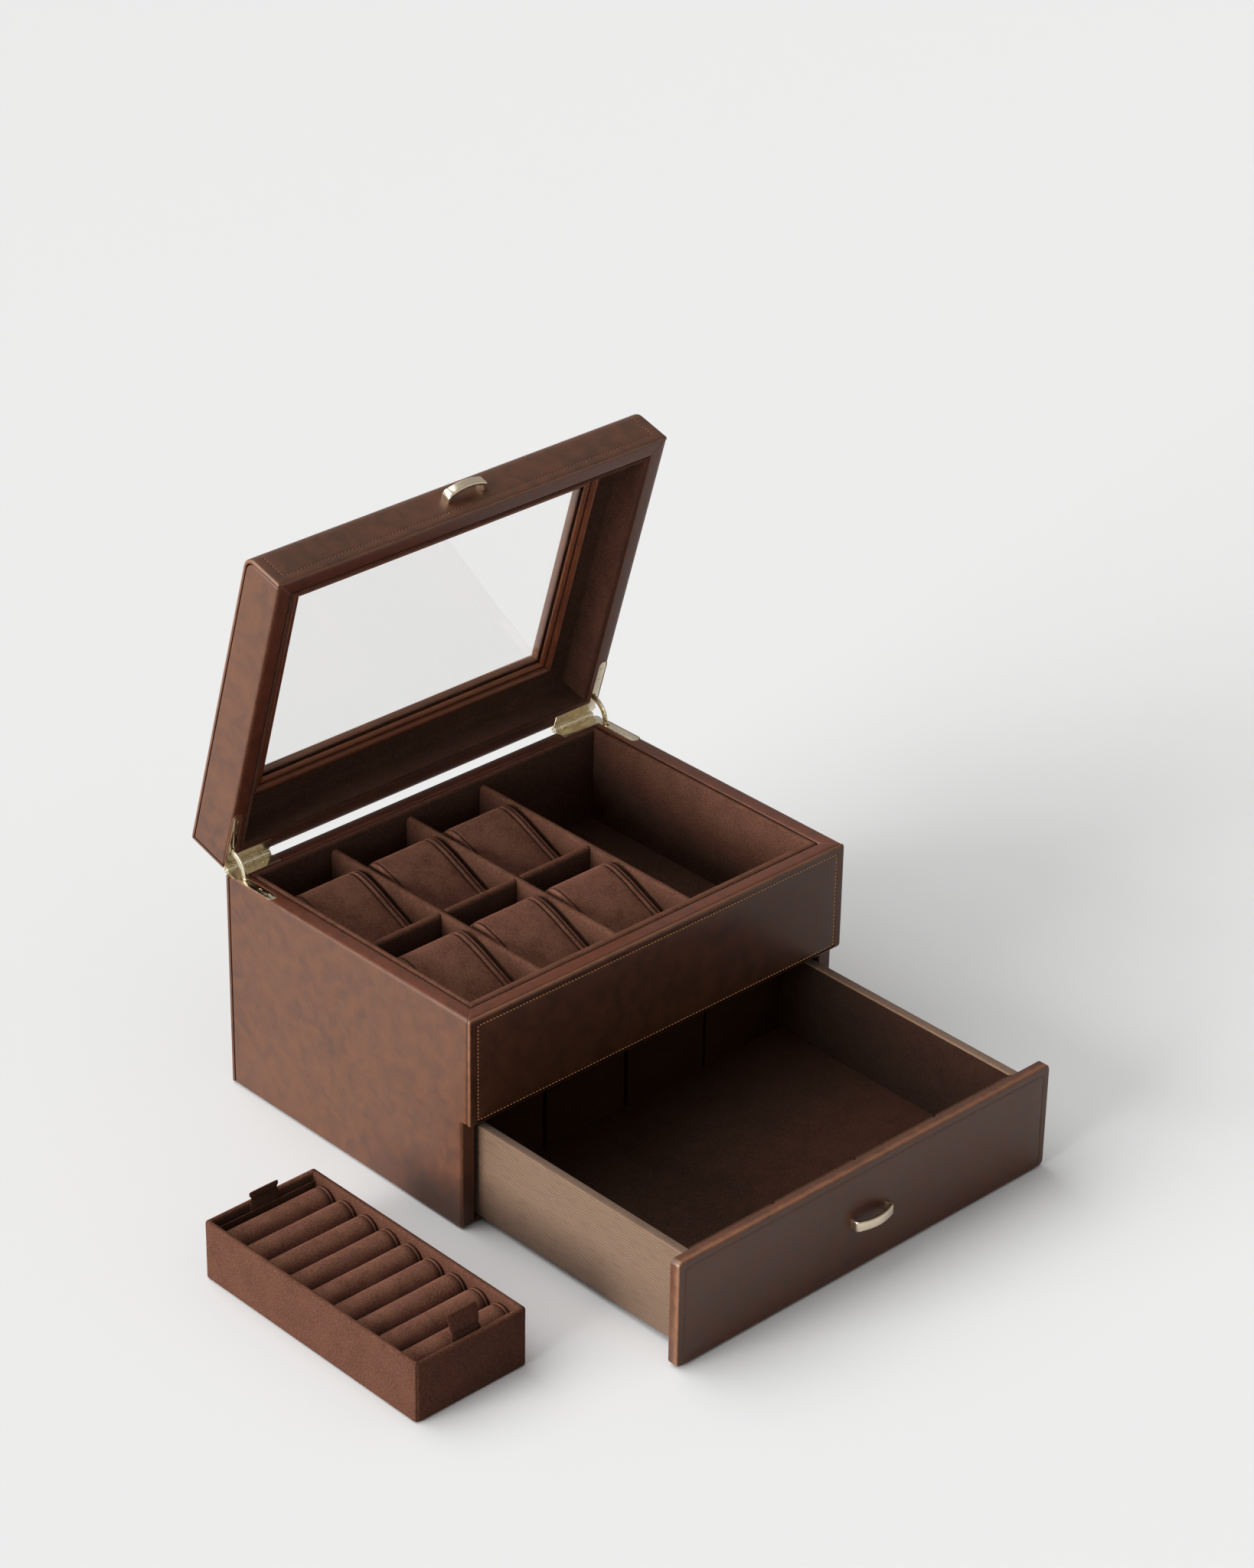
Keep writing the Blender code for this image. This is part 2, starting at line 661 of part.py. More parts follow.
def tray_shell_mesh():
    """An open box about its own middle: four walls and a floor in one shell."""
    mesh = bmesh.new()
    outer = (TRAY_WIDTH / 2, TRAY_LENGTH / 2)
    rings = []
    for inset, height in (
        (0.0, 0.0),
        (0.0, TRAY_HEIGHT),
        (TRAY_WALL, TRAY_HEIGHT),
        (TRAY_WALL, TRAY_FLOOR),
    ):
        corners = rectangle(*outer, inset)
        rings.append([mesh.verts.new((x, y, height)) for x, y in corners])
    for lower, upper in zip(rings, rings[1:]):
        for corner in range(4):
            after = (corner + 1) % 4
            mesh.faces.new((lower[corner], lower[after], upper[after], upper[corner]))
    mesh.faces.new(rings[0])
    mesh.faces.new(rings[-1])
    return mesh


def make_tray(mats):
    """The ring tray on its own empty: shell, nine foam rolls and two pull tabs."""
    stand = make_empty("tray_stand", (TRAY_X, TRAY_Y, 0.0))
    place(tray_shell_mesh(), "tray_shell", mats["leather"], stand)
    half_x = TRAY_WIDTH / 2 - TRAY_WALL - GAP
    low_z = TRAY_FLOOR + GAP
    for number in range(1, ROLLS + 1):
        y = (number - (ROLLS + 1) / 2) * ROLL_PITCH
        top = arc((y, ROLL_CENTRE_Z), ROLL_RADIUS, 0, 180, 12)
        outline = [(y - ROLL_RADIUS, low_z), (y + ROLL_RADIUS, low_z), *top]
        place(extruded(outline, -half_x, half_x, "x"), f"ring_roll_{number}", mats["suede"], stand)
    wall_y = TRAY_LENGTH / 2 - TRAY_WALL - GAP
    for side, name in ((-1, "front"), (1, "rear")):
        outer = side * wall_y
        inner = side * (wall_y - TAB_THICKNESS)
        lean = side * TAB_LEAN
        outline = [(outer, low_z), (outer, TRAY_HEIGHT), (outer - lean, TAB_TOP_Z)]
        outline += [(inner - lean, TAB_TOP_Z), (inner, TRAY_HEIGHT), (inner, low_z)]
        mesh = extruded(outline, -TAB_WIDTH / 2, TAB_WIDTH / 2, "x")
        place(mesh, f"tray_tab_{name}", mats["suede"], stand)


def main():
    clear_scene()
    mats = make_materials()
    panels, back, shelf = make_carcass(mats)
    clear_x, front_y, back_y = make_linings(mats)
    columns = make_dividers(mats, shelf, clear_x, front_y, back_y)
    make_pillows(mats, columns, front_y)
    make_case_hinges(mats, panels, back)
    make_stays(mats)
    make_lid(mats)
    make_drawer(mats)
    make_tray(mats)


if __name__ == "__main__":
    main()
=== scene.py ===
"""The look of a leather jewellery case with a glass lid, pillows, a front drawer and a loose ring tray."""

import json
import logging
import math
from collections.abc import Sequence
from dataclasses import dataclass, field
from enum import Enum

import bmesh
import bpy
import numpy as np
from mathutils import Matrix, Vector

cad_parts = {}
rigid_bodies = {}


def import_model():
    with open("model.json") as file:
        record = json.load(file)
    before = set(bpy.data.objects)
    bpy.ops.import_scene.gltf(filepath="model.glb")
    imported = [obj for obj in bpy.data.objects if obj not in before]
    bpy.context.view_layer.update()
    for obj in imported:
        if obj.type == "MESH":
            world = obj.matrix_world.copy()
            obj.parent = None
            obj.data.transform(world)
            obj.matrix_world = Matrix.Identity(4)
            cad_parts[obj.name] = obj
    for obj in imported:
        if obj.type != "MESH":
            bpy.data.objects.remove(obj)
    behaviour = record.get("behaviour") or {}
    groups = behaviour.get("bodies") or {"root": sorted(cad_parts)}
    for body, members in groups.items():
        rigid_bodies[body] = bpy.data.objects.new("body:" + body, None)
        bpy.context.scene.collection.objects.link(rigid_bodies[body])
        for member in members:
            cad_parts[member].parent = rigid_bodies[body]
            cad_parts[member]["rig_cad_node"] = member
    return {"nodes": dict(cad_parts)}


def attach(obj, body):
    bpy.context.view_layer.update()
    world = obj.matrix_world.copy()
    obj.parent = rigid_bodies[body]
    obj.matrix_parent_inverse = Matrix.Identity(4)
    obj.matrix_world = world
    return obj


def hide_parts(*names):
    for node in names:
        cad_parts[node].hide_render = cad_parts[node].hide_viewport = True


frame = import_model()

Array = np.ndarray
Colour = tuple[float, float, float, float]
log = logging.getLogger("case")

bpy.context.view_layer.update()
MM = 0.001
HINGE_Y = 122.8
HINGE_Z = 160.5
LID_OPEN = math.radians(74)
DRAWER_OUT = 189.0
WELD = 2e-6
STITCH_PITCH = 2.75
PILLOW_PRESSURE = 6.0
TONE_STEPS = ((0.03, 0.019), (0.1, 0.085), (0.25, 0.25))


class Body(Enum):
    """The moving bodies of the case, and where they stand at rest against the closed case."""

    CASE = "root"
    LID = "lid"
    DRAWER = "drawer"
    TRAY = "tray"

    def settle(self, points: Array) -> Array:
        """Takes points of the closed case to their place at rest.

        The lid turns about the hinge line by the open angle; the drawer slides forward.

        Args:
            points: rows of x, y, z in millimetres.
        Returns:
            The same rows at rest.
        """
        moved = np.array(points, float)
        if self is Body.LID:
            c, s = math.cos(LID_OPEN), math.sin(LID_OPEN)
            y, z = moved[:, 1] - HINGE_Y, moved[:, 2] - HINGE_Z
            moved[:, 1], moved[:, 2] = HINGE_Y + y * c + z * s, HINGE_Z - y * s + z * c
        if self is Body.DRAWER:
            moved[:, 1] -= DRAWER_OUT
        return moved


class Axis(Enum):
    """The direction that a stack of outlines is built along."""

    X = 0
    Y = 1
    Z = 2

    def stand(self, flat: Array, level: Array | float) -> Array:
        """Puts flat points at a level along this axis; the other two axes keep their order."""
        return np.insert(flat, self.value, np.broadcast_to(level, flat.shape[:-1]), axis=-1)


class Coordinates(Enum):
    """Where a finish reads its place from."""

    PLACE = "place"
    OBJECT = "Object"


# ---------------------------------------------------------------- shapes


def quads(rows: int, columns: int, loop_rows: bool = False, loop_columns: bool = False) -> Array:
    """Corner numbers of the squares between neighbouring points of a grid.

    Args:
        rows: points along the first direction.
        columns: points along the second direction.
        loop_rows: the last row joins the first.
        loop_columns: the last column joins the first.
    Returns:
        One row of four corner numbers for each square.
    """
    i, j = np.meshgrid(
        np.arange(rows - (not loop_rows)), np.arange(columns - (not loop_columns)), indexing="ij"
    )
    below, right = (i + 1) % rows, (j + 1) % columns
    corners = (i * columns + j, i * columns + right, below * columns + right, below * columns + j)
    return np.stack(corners, axis=-1).reshape(-1, 4)


def unit(vectors: Array) -> Array:
    """Vectors divided by their lengths."""
    return vectors / np.linalg.norm(vectors, axis=-1, keepdims=True)


def rounded(corners: Sequence[tuple[float, float]], radius: float | Array, segments: int = 5) -> Array:
    """A closed outline whose corners are arcs.

    Each arc has its centre on the corner's bisector, at radius / sin(half angle) from the corner.

    Args:
        corners: the sharp corners, anticlockwise.
        radius: one radius, or one for each corner.
        segments: steps along each arc.
    Returns:
        Rows of points round the outline.
    """
    sharp = np.array(corners, float)
    reach = np.maximum(np.broadcast_to(radius, len(sharp)), 0.01)[:, None]
    back, ahead = unit(np.roll(sharp, 1, 0) - sharp), unit(np.roll(sharp, -1, 0) - sharp)
    half = np.arccos(np.clip((back * ahead).sum(1), -1, 1))[:, None] / 2
    centre = sharp + unit(back + ahead) * reach / np.sin(half)
    first = unit(sharp + back * reach / np.tan(half) - centre)
    last = unit(sharp + ahead * reach / np.tan(half) - centre)
    turn = (math.pi - 2 * half)[:, None, :]
    share = np.linspace(0, 1, segments + 1)[None, :, None]
    mixed = np.sin((1 - share) * turn) * first[:, None] + np.sin(share * turn) * last[:, None]
    return (centre[:, None] + reach[:, None] * mixed / np.sin(turn)).reshape(-1, 2)


def inset(outline: Array, distance: float) -> Array:
    """The outline moved inwards: each point shifts along the mitre of its two edges' normals."""
    edges = unit(np.roll(outline, -1, 0) - outline)
    normals = np.stack((-edges[:, 1], edges[:, 0]), axis=1)
    before = np.roll(normals, 1, 0)
    mitre = (normals + before) / (1 + (normals * before).sum(1, keepdims=True))
    return outline + distance * mitre


def box_outline(
    low: tuple[float, float], high: tuple[float, float], radius: float, segments: int = 5
) -> Array:
    """A rectangle with rounded corners, anticlockwise."""
    corners = [(low[0], low[1]), (high[0], low[1]), (high[0], high[1]), (low[0], high[1])]
    return rounded(corners, radius, segments)


def bump_line(distance: Array, width: float) -> Array:
    """A soft line: one where the distance is nothing, falling away as a bell of that width."""
    return np.exp(-((distance / width) ** 2))


@dataclass
class Surface:
    """The skin of one piece, in millimetres of the closed case.

    rub marks edges painted pale, partly as scuffing and partly as a painted highlight; dip marks dark seams,
    and creases and recesses darkened as painted shade.
    """

    points: list[Array] = field(default_factory=list)
    faces: list[list[int]] = field(default_factory=list)
    rub: list[Array] = field(default_factory=list)
    dip: list[Array] = field(default_factory=list)
    count: int = 0

    def add(
        self, points: Array, faces: Array | list, rub: Array | float = 0.0, dip: Array | float = 0.0
    ) -> None:
        """Adds points with their faces and marks.

        Args:
            points: any grid of x, y, z.
            faces: corner numbers within these points.
            rub: pale edge mark, partly scuffing and partly painted highlight; one value or one for each point.
            dip: darkness of seams, and painted shade in creases and recesses; one value or one for each point.
        """
        flat = np.asarray(points, float).reshape(-1, 3)
        if isinstance(faces, np.ndarray):
            self.faces += (faces + self.count).tolist()
        else:
            self.faces += [(np.asarray(face) + self.count).tolist() for face in faces]
        self.points.append(flat)
        shape = points.shape[:-1]
        self.rub.append(np.broadcast_to(rub, shape).reshape(-1))
        self.dip.append(np.broadcast_to(dip, shape).reshape(-1))
        self.count += len(flat)

    def loft(
        self, rings: Array, rub: Array | float = 0.0, dip: Array | float = 0.0, hoop: bool = False
    ) -> "Surface":
        """Joins a stack of closed rings into one closed skin.

        Args:
            rings: rings by points by 3.
            rub: pale edge mark, partly scuffing and partly painted highlight; broadcast over rings and points.
            dip: darkness, broadcast over rings and points.
            hoop: the last ring joins the first instead of both being capped.
        Returns:
            This surface.
        """
        rows, columns = rings.shape[:2]
        faces = quads(rows, columns, hoop, True).tolist()
        if not hoop:
            faces += [list(range(columns))[::-1], list(range((rows - 1) * columns, rows * columns))]
        marks = [np.asarray(m, float) for m in (rub, dip)]
        marks = [m[:, None] if m.ndim == 1 else m for m in marks]
        self.add(rings, faces, *marks)
        return self

    def all_points(self) -> Array:
        """Every point, in one array."""
        return np.concatenate(self.points)


def eased(low: float, high: float, radius: float, steps: int = 4) -> Array:
    """Steps from one flat side to the other with quarter-round edges.

    The inset goes as radius times one minus the sine, and the level as radius times one minus the cosine.

    Args:
        low: level of the first side.
        high: level of the second side.
        radius: of the edges.
        steps: along each quarter.
    Returns:
        Rows of inset, level and pale edge mark, the last partly scuffing and partly painted highlight.
    """
    turn = np.linspace(0, math.pi / 2, steps + 1)
    sign = math.copysign(1.0, high - low)
    # The third column paints the round edges pale: partly scuffing, partly a painted highlight.
    edge = np.stack((radius * (1 - np.sin(turn)), radius * (1 - np.cos(turn)), np.sin(turn) ** 2), axis=1)
    first = np.stack((edge[:, 0], low + sign * edge[:, 1], edge[:, 2] * 0.9), axis=1)
    last = np.stack((edge[:, 0], high - sign * edge[:, 1], edge[:, 2] * 0.9), axis=1)[::-1]
    flat = np.array([[radius + 1.3, low, 0.0]]), np.array([[radius + 1.3, high, 0.0]])
    middle = [low + sign * (radius + 1.2), high - sign * (radius + 1.2)]
    thick = abs(high - low) > 2 * radius + 3
    walls = np.array([[0.0, level, 0.12] for level in middle]) if thick else np.zeros((0, 3))
    return np.concatenate((flat[0], first, walls, last, flat[1]))


@dataclass
class Outline:
    """A closed outline of straight sides and round corners that can be drawn in without crossing itself."""

    corners: Sequence[tuple[float, float]]
    radii: float | Sequence[float]
    segments: int = 5

    def at(self, distance: float) -> Array:
        """The outline moved inwards: outer corners get tighter by the distance, and inner ones wider."""
        sharp = np.array(self.corners, float)
        ahead, back = np.roll(sharp, -1, 0) - sharp, sharp - np.roll(sharp, 1, 0)
        outer = np.sign(back[:, 0] * ahead[:, 1] - back[:, 1] * ahead[:, 0])
        radius = np.maximum(np.broadcast_to(self.radii, len(sharp)) - outer * distance, 0.05)
        return rounded(inset(sharp, distance), radius, self.segments)


def stacked(outline: Outline, steps: Array, axis: Axis) -> Surface:
    """A solid of one outline, inset and levelled by each step in turn."""
    rings = np.stack([axis.stand(outline.at(step[0]), step[1]) for step in steps])
    return Surface().loft(rings, rub=steps[:, 2])


def bar(
    surface: Surface,
    start: tuple[float, float],
    end: tuple[float, float],
    profile: Array,
    mitre: tuple[float, float] = (1.0, 1.0),
    rub: Array | float = 0.0,
    pinch: float = 0.3,
    seam: float = 0.8,
) -> None:
    """Carries a closed profile along a straight line in plan, with mitred ends.

    A profile point at (across, up) stands across from the line towards its left side, and each end is cut
    back by across times its mitre. The last millimetre of each end is drawn in a little, for the seam.

    Args:
        surface: what the bar is added to.
        start: where the outer edge starts, in plan.
        end: where it ends.
        profile: rows of across and up.
        mitre: cut of the two ends, 1 for 45 degrees and 0 for square.
        rub: pale edge mark of each profile point, partly scuffing and partly painted highlight.
        pinch: how far the ends are drawn in.
        seam: pale seam mark at the ends.
    """
    first, last = np.array(start), np.array(end)
    along = unit(last - first)
    inward = np.array((-along[1], along[0]))
    length = np.linalg.norm(last - first)
    from_start = np.array([0.0, 0.3, 0.9, 2.2, 4.0])
    drawn = np.array([1.0, 0.35, 0.08, 0.0, 0.0])
    seams = np.array([1.0, 0.9, 0.2, 0.0, 0.0])
    gap, pull = np.r_[from_start, from_start[::-1]], np.r_[drawn, drawn[::-1]] * pinch
    sections = np.stack([inset(profile, amount) for amount in pull])
    across, up = sections[..., 0], sections[..., 1]
    half = len(from_start)
    distance = np.concatenate(
        (gap[:half, None] + across[:half] * mitre[0], length - gap[half:, None] - across[half:] * mitre[1])
    )
    plan = first + distance[..., None] * along + across[..., None] * inward
    # Pale edge marks, partly scuffing and partly a painted highlight, with pale seams at the ends.
    marks = np.maximum(np.broadcast_to(rub, across.shape), (np.r_[seams, seams[::-1]] * seam)[:, None])
    surface.loft(np.concatenate((plan, up[..., None]), axis=-1), rub=marks)


def ring_of_bars(
    low: Sequence[float], high: Sequence[float], profile: Array, **marks: float | Array
) -> Surface:
    """Four mitred bars round a rectangle in plan, as one piece for each side in the same surface."""
    surface = Surface()
    corners = [(low[0], low[1]), (high[0], low[1]), (high[0], high[1]), (low[0], high[1])]
    for start, end in zip(corners, corners[1:] + corners[:1]):
        bar(surface, start, end, profile, **marks)
    return surface


def bulged(width: float, low: float, high: float, crown: float, radius: float) -> Array:
    """A strip's profile: flat underneath, a parabola on top that falls by the crown at both edges.

    Args:
        width: across the strip.
        low: level of the flat side.
        high: level of the crown; below low for a strip that faces down.
        crown: how much lower the edges are.
        radius: of the two edges.
    Returns:
        Rows of across and up, anticlockwise.
    """
    sign = math.copysign(1.0, high - low)
    share = np.linspace(-1, 1, 13)
    top = high - sign * crown * share**2
    near = radius * (1 - np.sqrt(np.clip(1 - (1 - np.minimum(1 - np.abs(share), 0.25) / 0.25) ** 2, 0, 1)))
    top = top - sign * near
    across = (share + 1) * width / 2
    upper = np.stack((across, top), axis=1)[::-1]
    profile = np.concatenate((np.array([[0.0, low], [width, low]]), upper))
    return profile if sign > 0 else profile[::-1]


def lipped(width: float, low: float, high: float, radius: float) -> Array:
    """A wall's profile with a rounded top, anticlockwise."""
    steps = math.copysign(1.0, high - low)
    corners = [(0.0, low), (width, low), (width, high), (0.0, high)]
    foot, head = min(0.5, 0.35 * width), min(radius, 0.46 * width)
    profile = rounded([(a, b * steps) for a, b in corners], [foot, foot, head, head], 5)
    profile[:, 1] *= steps
    return profile if steps > 0 else profile[::-1]


def stitches(
    surface: Surface,
    path: Array,
    outward: Array | tuple[float, float, float],
    length: float = 2.05,
    radius: float = 0.42,
) -> None:
    """Threads along a path: flattened capsules at an even pitch whose ends dip into their holes.

    Along each thread t runs from -1 to 1; the section's radius falls towards the ends, and the height drops
    by t squared.

    Args:
        surface: what the threads are added to.
        path: rows of x, y, z.
        outward: the way that the leather faces, once or for each row.
        length: of one thread.
        radius: half its thickness.
    """
    steps = np.r_[0, np.cumsum(np.linalg.norm(np.diff(path, axis=0), axis=1))]
    count = max(2, round(steps[-1] / STITCH_PITCH))
    middles = (np.arange(count) + 0.5) * steps[-1] / count
    facing = np.broadcast_to(np.asarray(outward, float), path.shape)

    def along_path(values: Array, at: Array) -> Array:
        """Values of the path's rows, between its points."""
        return np.stack([np.interp(at, steps, values[:, k]) for k in range(3)], axis=1)

    centre = along_path(path, middles)
    ahead = unit(along_path(path, middles + length / 2) - along_path(path, middles - length / 2))
    up = unit(along_path(facing, middles))
    side = np.cross(ahead, up)
    t = np.array([-1.0, -0.75, 0.0, 0.75, 1.0])[:, None]
    turn = (np.arange(6) * math.pi / 3)[None, :]
    size = radius * np.array([0.4, 0.9, 1.0, 0.9, 0.4])[:, None]
    lengthwise = np.broadcast_to(t * length / 2, (5, 6))
    height = size * np.sin(turn) * 0.8 - 0.45 * radius * t**2 * 2
    sideways = size * np.cos(turn)
    template = np.stack((lengthwise, height, sideways), axis=-1).reshape(-1, 3)
    base = np.stack((ahead, up, side), axis=1)
    points = centre[:, None, :] + np.einsum("pk,ckx->cpx", template, base)
    one = quads(5, 6, False, True)
    faces = (one[None] + (np.arange(count) * 30)[:, None, None]).reshape(-1, 4)
    caps = np.concatenate((np.arange(6)[None, ::-1], np.arange(24, 30)[None]))
    ends = (caps[None] + (np.arange(count) * 30)[:, None, None]).reshape(-1, 6)
    surface.add(points, faces.tolist() + ends.tolist())


def make_mesh(name: str, surface: Surface, body: Body) -> bpy.types.Mesh:
    """Puts a surface into a mesh at its place at rest, with its marks and closed-case place as attributes.

    Args:
        name: of the mesh.
        surface: in millimetres of the closed case.
        body: whose place at rest the points take.
    Returns:
        The mesh, welded, with its faces outwards.
    """
    points = surface.all_points()
    mesh = bpy.data.meshes.new(name)
    mesh.from_pydata((body.settle(points) * MM).tolist(), [], surface.faces)
    place = mesh.attributes.new("place", "FLOAT_VECTOR", "POINT")
    place.data.foreach_set("vector", (points * MM).astype(np.float32).ravel())
    for label, marks in (("rub", surface.rub), ("dip", surface.dip)):
        layer = mesh.attributes.new(label, "FLOAT", "POINT")
        layer.data.foreach_set("value", np.concatenate(marks).astype(np.float32))
    work = bmesh.new()
    work.from_mesh(mesh)
    bmesh.ops.remove_doubles(work, verts=work.verts, dist=WELD)
    bmesh.ops.recalc_face_normals(work, faces=work.faces)
    work.to_mesh(mesh)
    work.free()
    return mesh


def make_piece(
    name: str,
    surface: Surface,
    material: bpy.types.Material,
    body: Body,
    replaced: Sequence[str] = (),
    sharp: float = 50.0,
) -> bpy.types.Object:
    """Makes a finished piece that rides on its body.

    Args:
        name: of the piece.
        surface: its skin.
        material: its finish.
        body: what it rides on.
        replaced: the plain solids that it stands for.
        sharp: edges that turn by more degrees than this stay sharp.
    Returns:
        The object.
    """
    item = bpy.data.objects.new(name, make_mesh(name, surface, body))
    bpy.context.scene.collection.objects.link(item)
    item.data.materials.append(material)
    item.data.shade_smooth()
    item.data.set_sharp_from_angle(angle=math.radians(sharp))
    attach(item, body.value)
    if replaced:
        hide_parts(*replaced)
    log.info("%s: %d faces on %s", name, len(item.data.polygons), body.value)
    return item


# ---------------------------------------------------------------- finishes


def paint(red: int, green: int, blue: int) -> Colour:
    """A display colour, 0 to 255, as linear light."""
    value = np.array((red, green, blue)) / 255
    linear = np.where(value <= 0.04045, value / 12.92, ((value + 0.055) / 1.055) ** 2.4)
    return (*linear.tolist(), 1.0)


@dataclass
class Graph:
    """Adds joined nodes to a material or a node group."""

    tree: bpy.types.NodeTree

    def add(
        self, kind: str, inputs: dict[str | int, object] | None = None, **settings: object
    ) -> bpy.types.Node:
        """Adds a node.

        Args:
            kind: the node's type.
            inputs: a value or another node's output for each named input.
            settings: the node's own properties.
        Returns:
            The node.
        """
        node = self.tree.nodes.new(kind)
        for key, value in settings.items():
            setattr(node, key, value)
        for key, value in (inputs or {}).items():
            socket = node.inputs[key]
            if isinstance(value, bpy.types.NodeSocket):
                self.tree.links.new(value, socket)
            else:
                socket.default_value = value
        return node

    def noise(
        self, place: object, scale: float, detail: float = 2.0, rough: float = 0.5, warp: float = 0.0
    ) -> object:
        """The value of a noise pattern, in cycles per metre."""
        values = {"Vector": place, "Scale": scale, "Detail": detail, "Roughness": rough, "Distortion": warp}
        return self.add("ShaderNodeTexNoise", values).outputs["Fac"]

    def spread(
        self, value: object, low: float, high: float, to_low: float = 0.0, to_high: float = 1.0
    ) -> object:
        """Takes one range of values smoothly to another."""
        values = {"Value": value, "From Min": low, "From Max": high, "To Min": to_low, "To Max": to_high}
        return self.add("ShaderNodeMapRange", values, interpolation_type="SMOOTHSTEP").outputs["Result"]

    def maths(self, operation: str, first: object, second: object = 0.0) -> object:
        """One sum of two values."""
        return self.add("ShaderNodeMath", {0: first, 1: second}, operation=operation).outputs[0]

    def blend(self, share: object, first: object, second: object, kind: str = "MIX") -> object:
        """One colour laid over another by a share."""
        values = {"Factor": share, "A": first, "B": second}
        node = self.add("ShaderNodeMix", None, data_type="RGBA", blend_type=kind)
        sockets = {"Factor": node.inputs[0], "A": node.inputs[6], "B": node.inputs[7]}
        for key, value in values.items():
            if isinstance(value, bpy.types.NodeSocket):
                self.tree.links.new(value, sockets[key])
            else:
                sockets[key].default_value = value
        return node.outputs[2]


@dataclass
class Groups:
    """The shared surface effects, each a node group built once."""

    made: dict[str, bpy.types.NodeTree] = field(default_factory=dict)

    def start(
        self, name: str, inputs: Sequence[tuple[str, str]], outputs: Sequence[str]
    ) -> tuple[Graph, object, object]:
        """Starts a group with its named sockets.

        Args:
            name: of the group.
            inputs: name and kind (Vector or Float) of each input.
            outputs: name of each value that it puts out.
        Returns:
            The graph, the group's input node and its output node.
        """
        tree = bpy.data.node_groups.new(name, "ShaderNodeTree")
        for label, kind in inputs:
            tree.interface.new_socket(name=label, in_out="INPUT", socket_type=f"NodeSocket{kind}")
        for label in outputs:
            tree.interface.new_socket(name=label, in_out="OUTPUT", socket_type="NodeSocketFloat")
        graph = Graph(tree)
        self.made[name] = tree
        return graph, graph.add("NodeGroupInput"), graph.add("NodeGroupOutput")

    def build(self) -> None:
        """Builds every group."""
        self.build_leather_grain()
        self.build_edge_scuff_and_highlight()
        self.build_suede_nap()
        self.build_linen_weave()
        self.build_metal_satin()

    def build_leather_grain(self) -> None:
        """Waxed hide: cloudy pull-up patches, fine pores and faint creases."""
        graph, given, out = self.start(
            "leather_grain", [("Place", "Vector"), ("Size", "Float")], ["Clouds", "Patches", "Height"]
        )
        scaled = graph.add(
            "ShaderNodeVectorMath", {0: given.outputs["Place"], 3: given.outputs["Size"]}, operation="SCALE"
        )
        place = scaled.outputs[0]
        clouds = graph.spread(graph.noise(place, 11, 3, 0.5, 0.3), 0.2, 0.8)
        patches = graph.spread(graph.noise(place, 85, 5, 0.6, 0.5), 0.28, 0.72)
        cells = graph.add("ShaderNodeTexVoronoi", {"Vector": place, "Scale": 900.0}, feature="SMOOTH_F1")
        pores = graph.spread(cells.outputs["Distance"], 0.0, 0.55)
        creases = graph.noise(place, 260, 4, 0.6, 1.8)
        height = graph.maths(
            "ADD", graph.maths("MULTIPLY", pores, 0.35), graph.maths("MULTIPLY", creases, 0.9)
        )
        for label, value in (("Clouds", clouds), ("Patches", patches), ("Height", height)):
            graph.tree.links.new(value, out.inputs[label])

    def build_edge_scuff_and_highlight(self) -> None:
        """Turns a smooth edge mark into a broken pale mark along the edge, partly scuffing and partly a painted
        highlight.
        """
        graph, given, out = self.start("edge_scuff_and_highlight", [("Place", "Vector"), ("Mark", "Float")], ["Worn"])
        breaks = graph.noise(given.outputs["Place"], 140, 4, 0.6, 0.4)
        lift = graph.maths("ADD", given.outputs["Mark"], graph.spread(breaks, 0.3, 0.7, -0.14, 0.1))
        scuff_and_highlight_mask = graph.maths(
            "MULTIPLY", graph.spread(lift, 0.35, 1.05), graph.spread(given.outputs["Mark"], 0, 0.25)
        )
        graph.tree.links.new(scuff_and_highlight_mask, out.inputs["Worn"])

    def build_suede_nap(self) -> None:
        """Short nap: a fine fibre speckle, stroked clouds and a soft height."""
        graph, given, out = self.start("suede_nap", [("Place", "Vector")], ["Fibre", "Stroke", "Height"])
        place = given.outputs["Place"]
        fibre = graph.noise(place, 950, 4, 0.75)
        stroke = graph.spread(graph.noise(place, 60, 4, 0.6, 0.6), 0.3, 0.7)
        height = graph.maths("ADD", graph.noise(place, 1300, 3, 0.7), graph.maths("MULTIPLY", fibre, 0.7))
        for label, value in (("Fibre", fibre), ("Stroke", stroke), ("Height", height)):
            graph.tree.links.new(value, out.inputs[label])

    def build_linen_weave(self) -> None:
        """Ribbed cloth: uneven ribs along the board crossed by a finer, fainter thread."""
        graph, given, out = self.start("linen_weave", [("Place", "Vector")], ["Rib", "Slub", "Height"])

        def stretched(scale: tuple[float, float, float]) -> object:
            """The place, stretched for threads that run one way."""
            node = graph.add("ShaderNodeMapping", {"Vector": given.outputs["Place"], "Scale": scale})
            return node.outputs["Vector"]

        ribs = graph.add(
            "ShaderNodeTexWave",
            {
                "Vector": given.outputs["Place"],
                "Scale": 155.0,
                "Distortion": 2.2,
                "Detail": 3.0,
                "Detail Scale": 1.4,
            },
            bands_direction="Z",
        ).outputs["Fac"]
        threads = graph.noise(stretched((0.2, 0.12, 1.0)), 1500, 3, 0.6)
        crossing = graph.noise(stretched((0.2, 1.0, 0.16)), 1100, 3, 0.6)
        slub = graph.spread(graph.noise(stretched((0.3, 0.16, 1.0)), 420, 3, 0.6), 0.35, 0.7)
        rib = graph.maths(
            "ADD", graph.maths("MULTIPLY", ribs, 0.45), graph.maths("MULTIPLY", threads, 0.55)
        )
        height = graph.maths("ADD", rib, graph.maths("MULTIPLY", crossing, 0.6))
        for label, value in (("Rib", rib), ("Slub", slub), ("Height", height)):
            graph.tree.links.new(value, out.inputs[label])

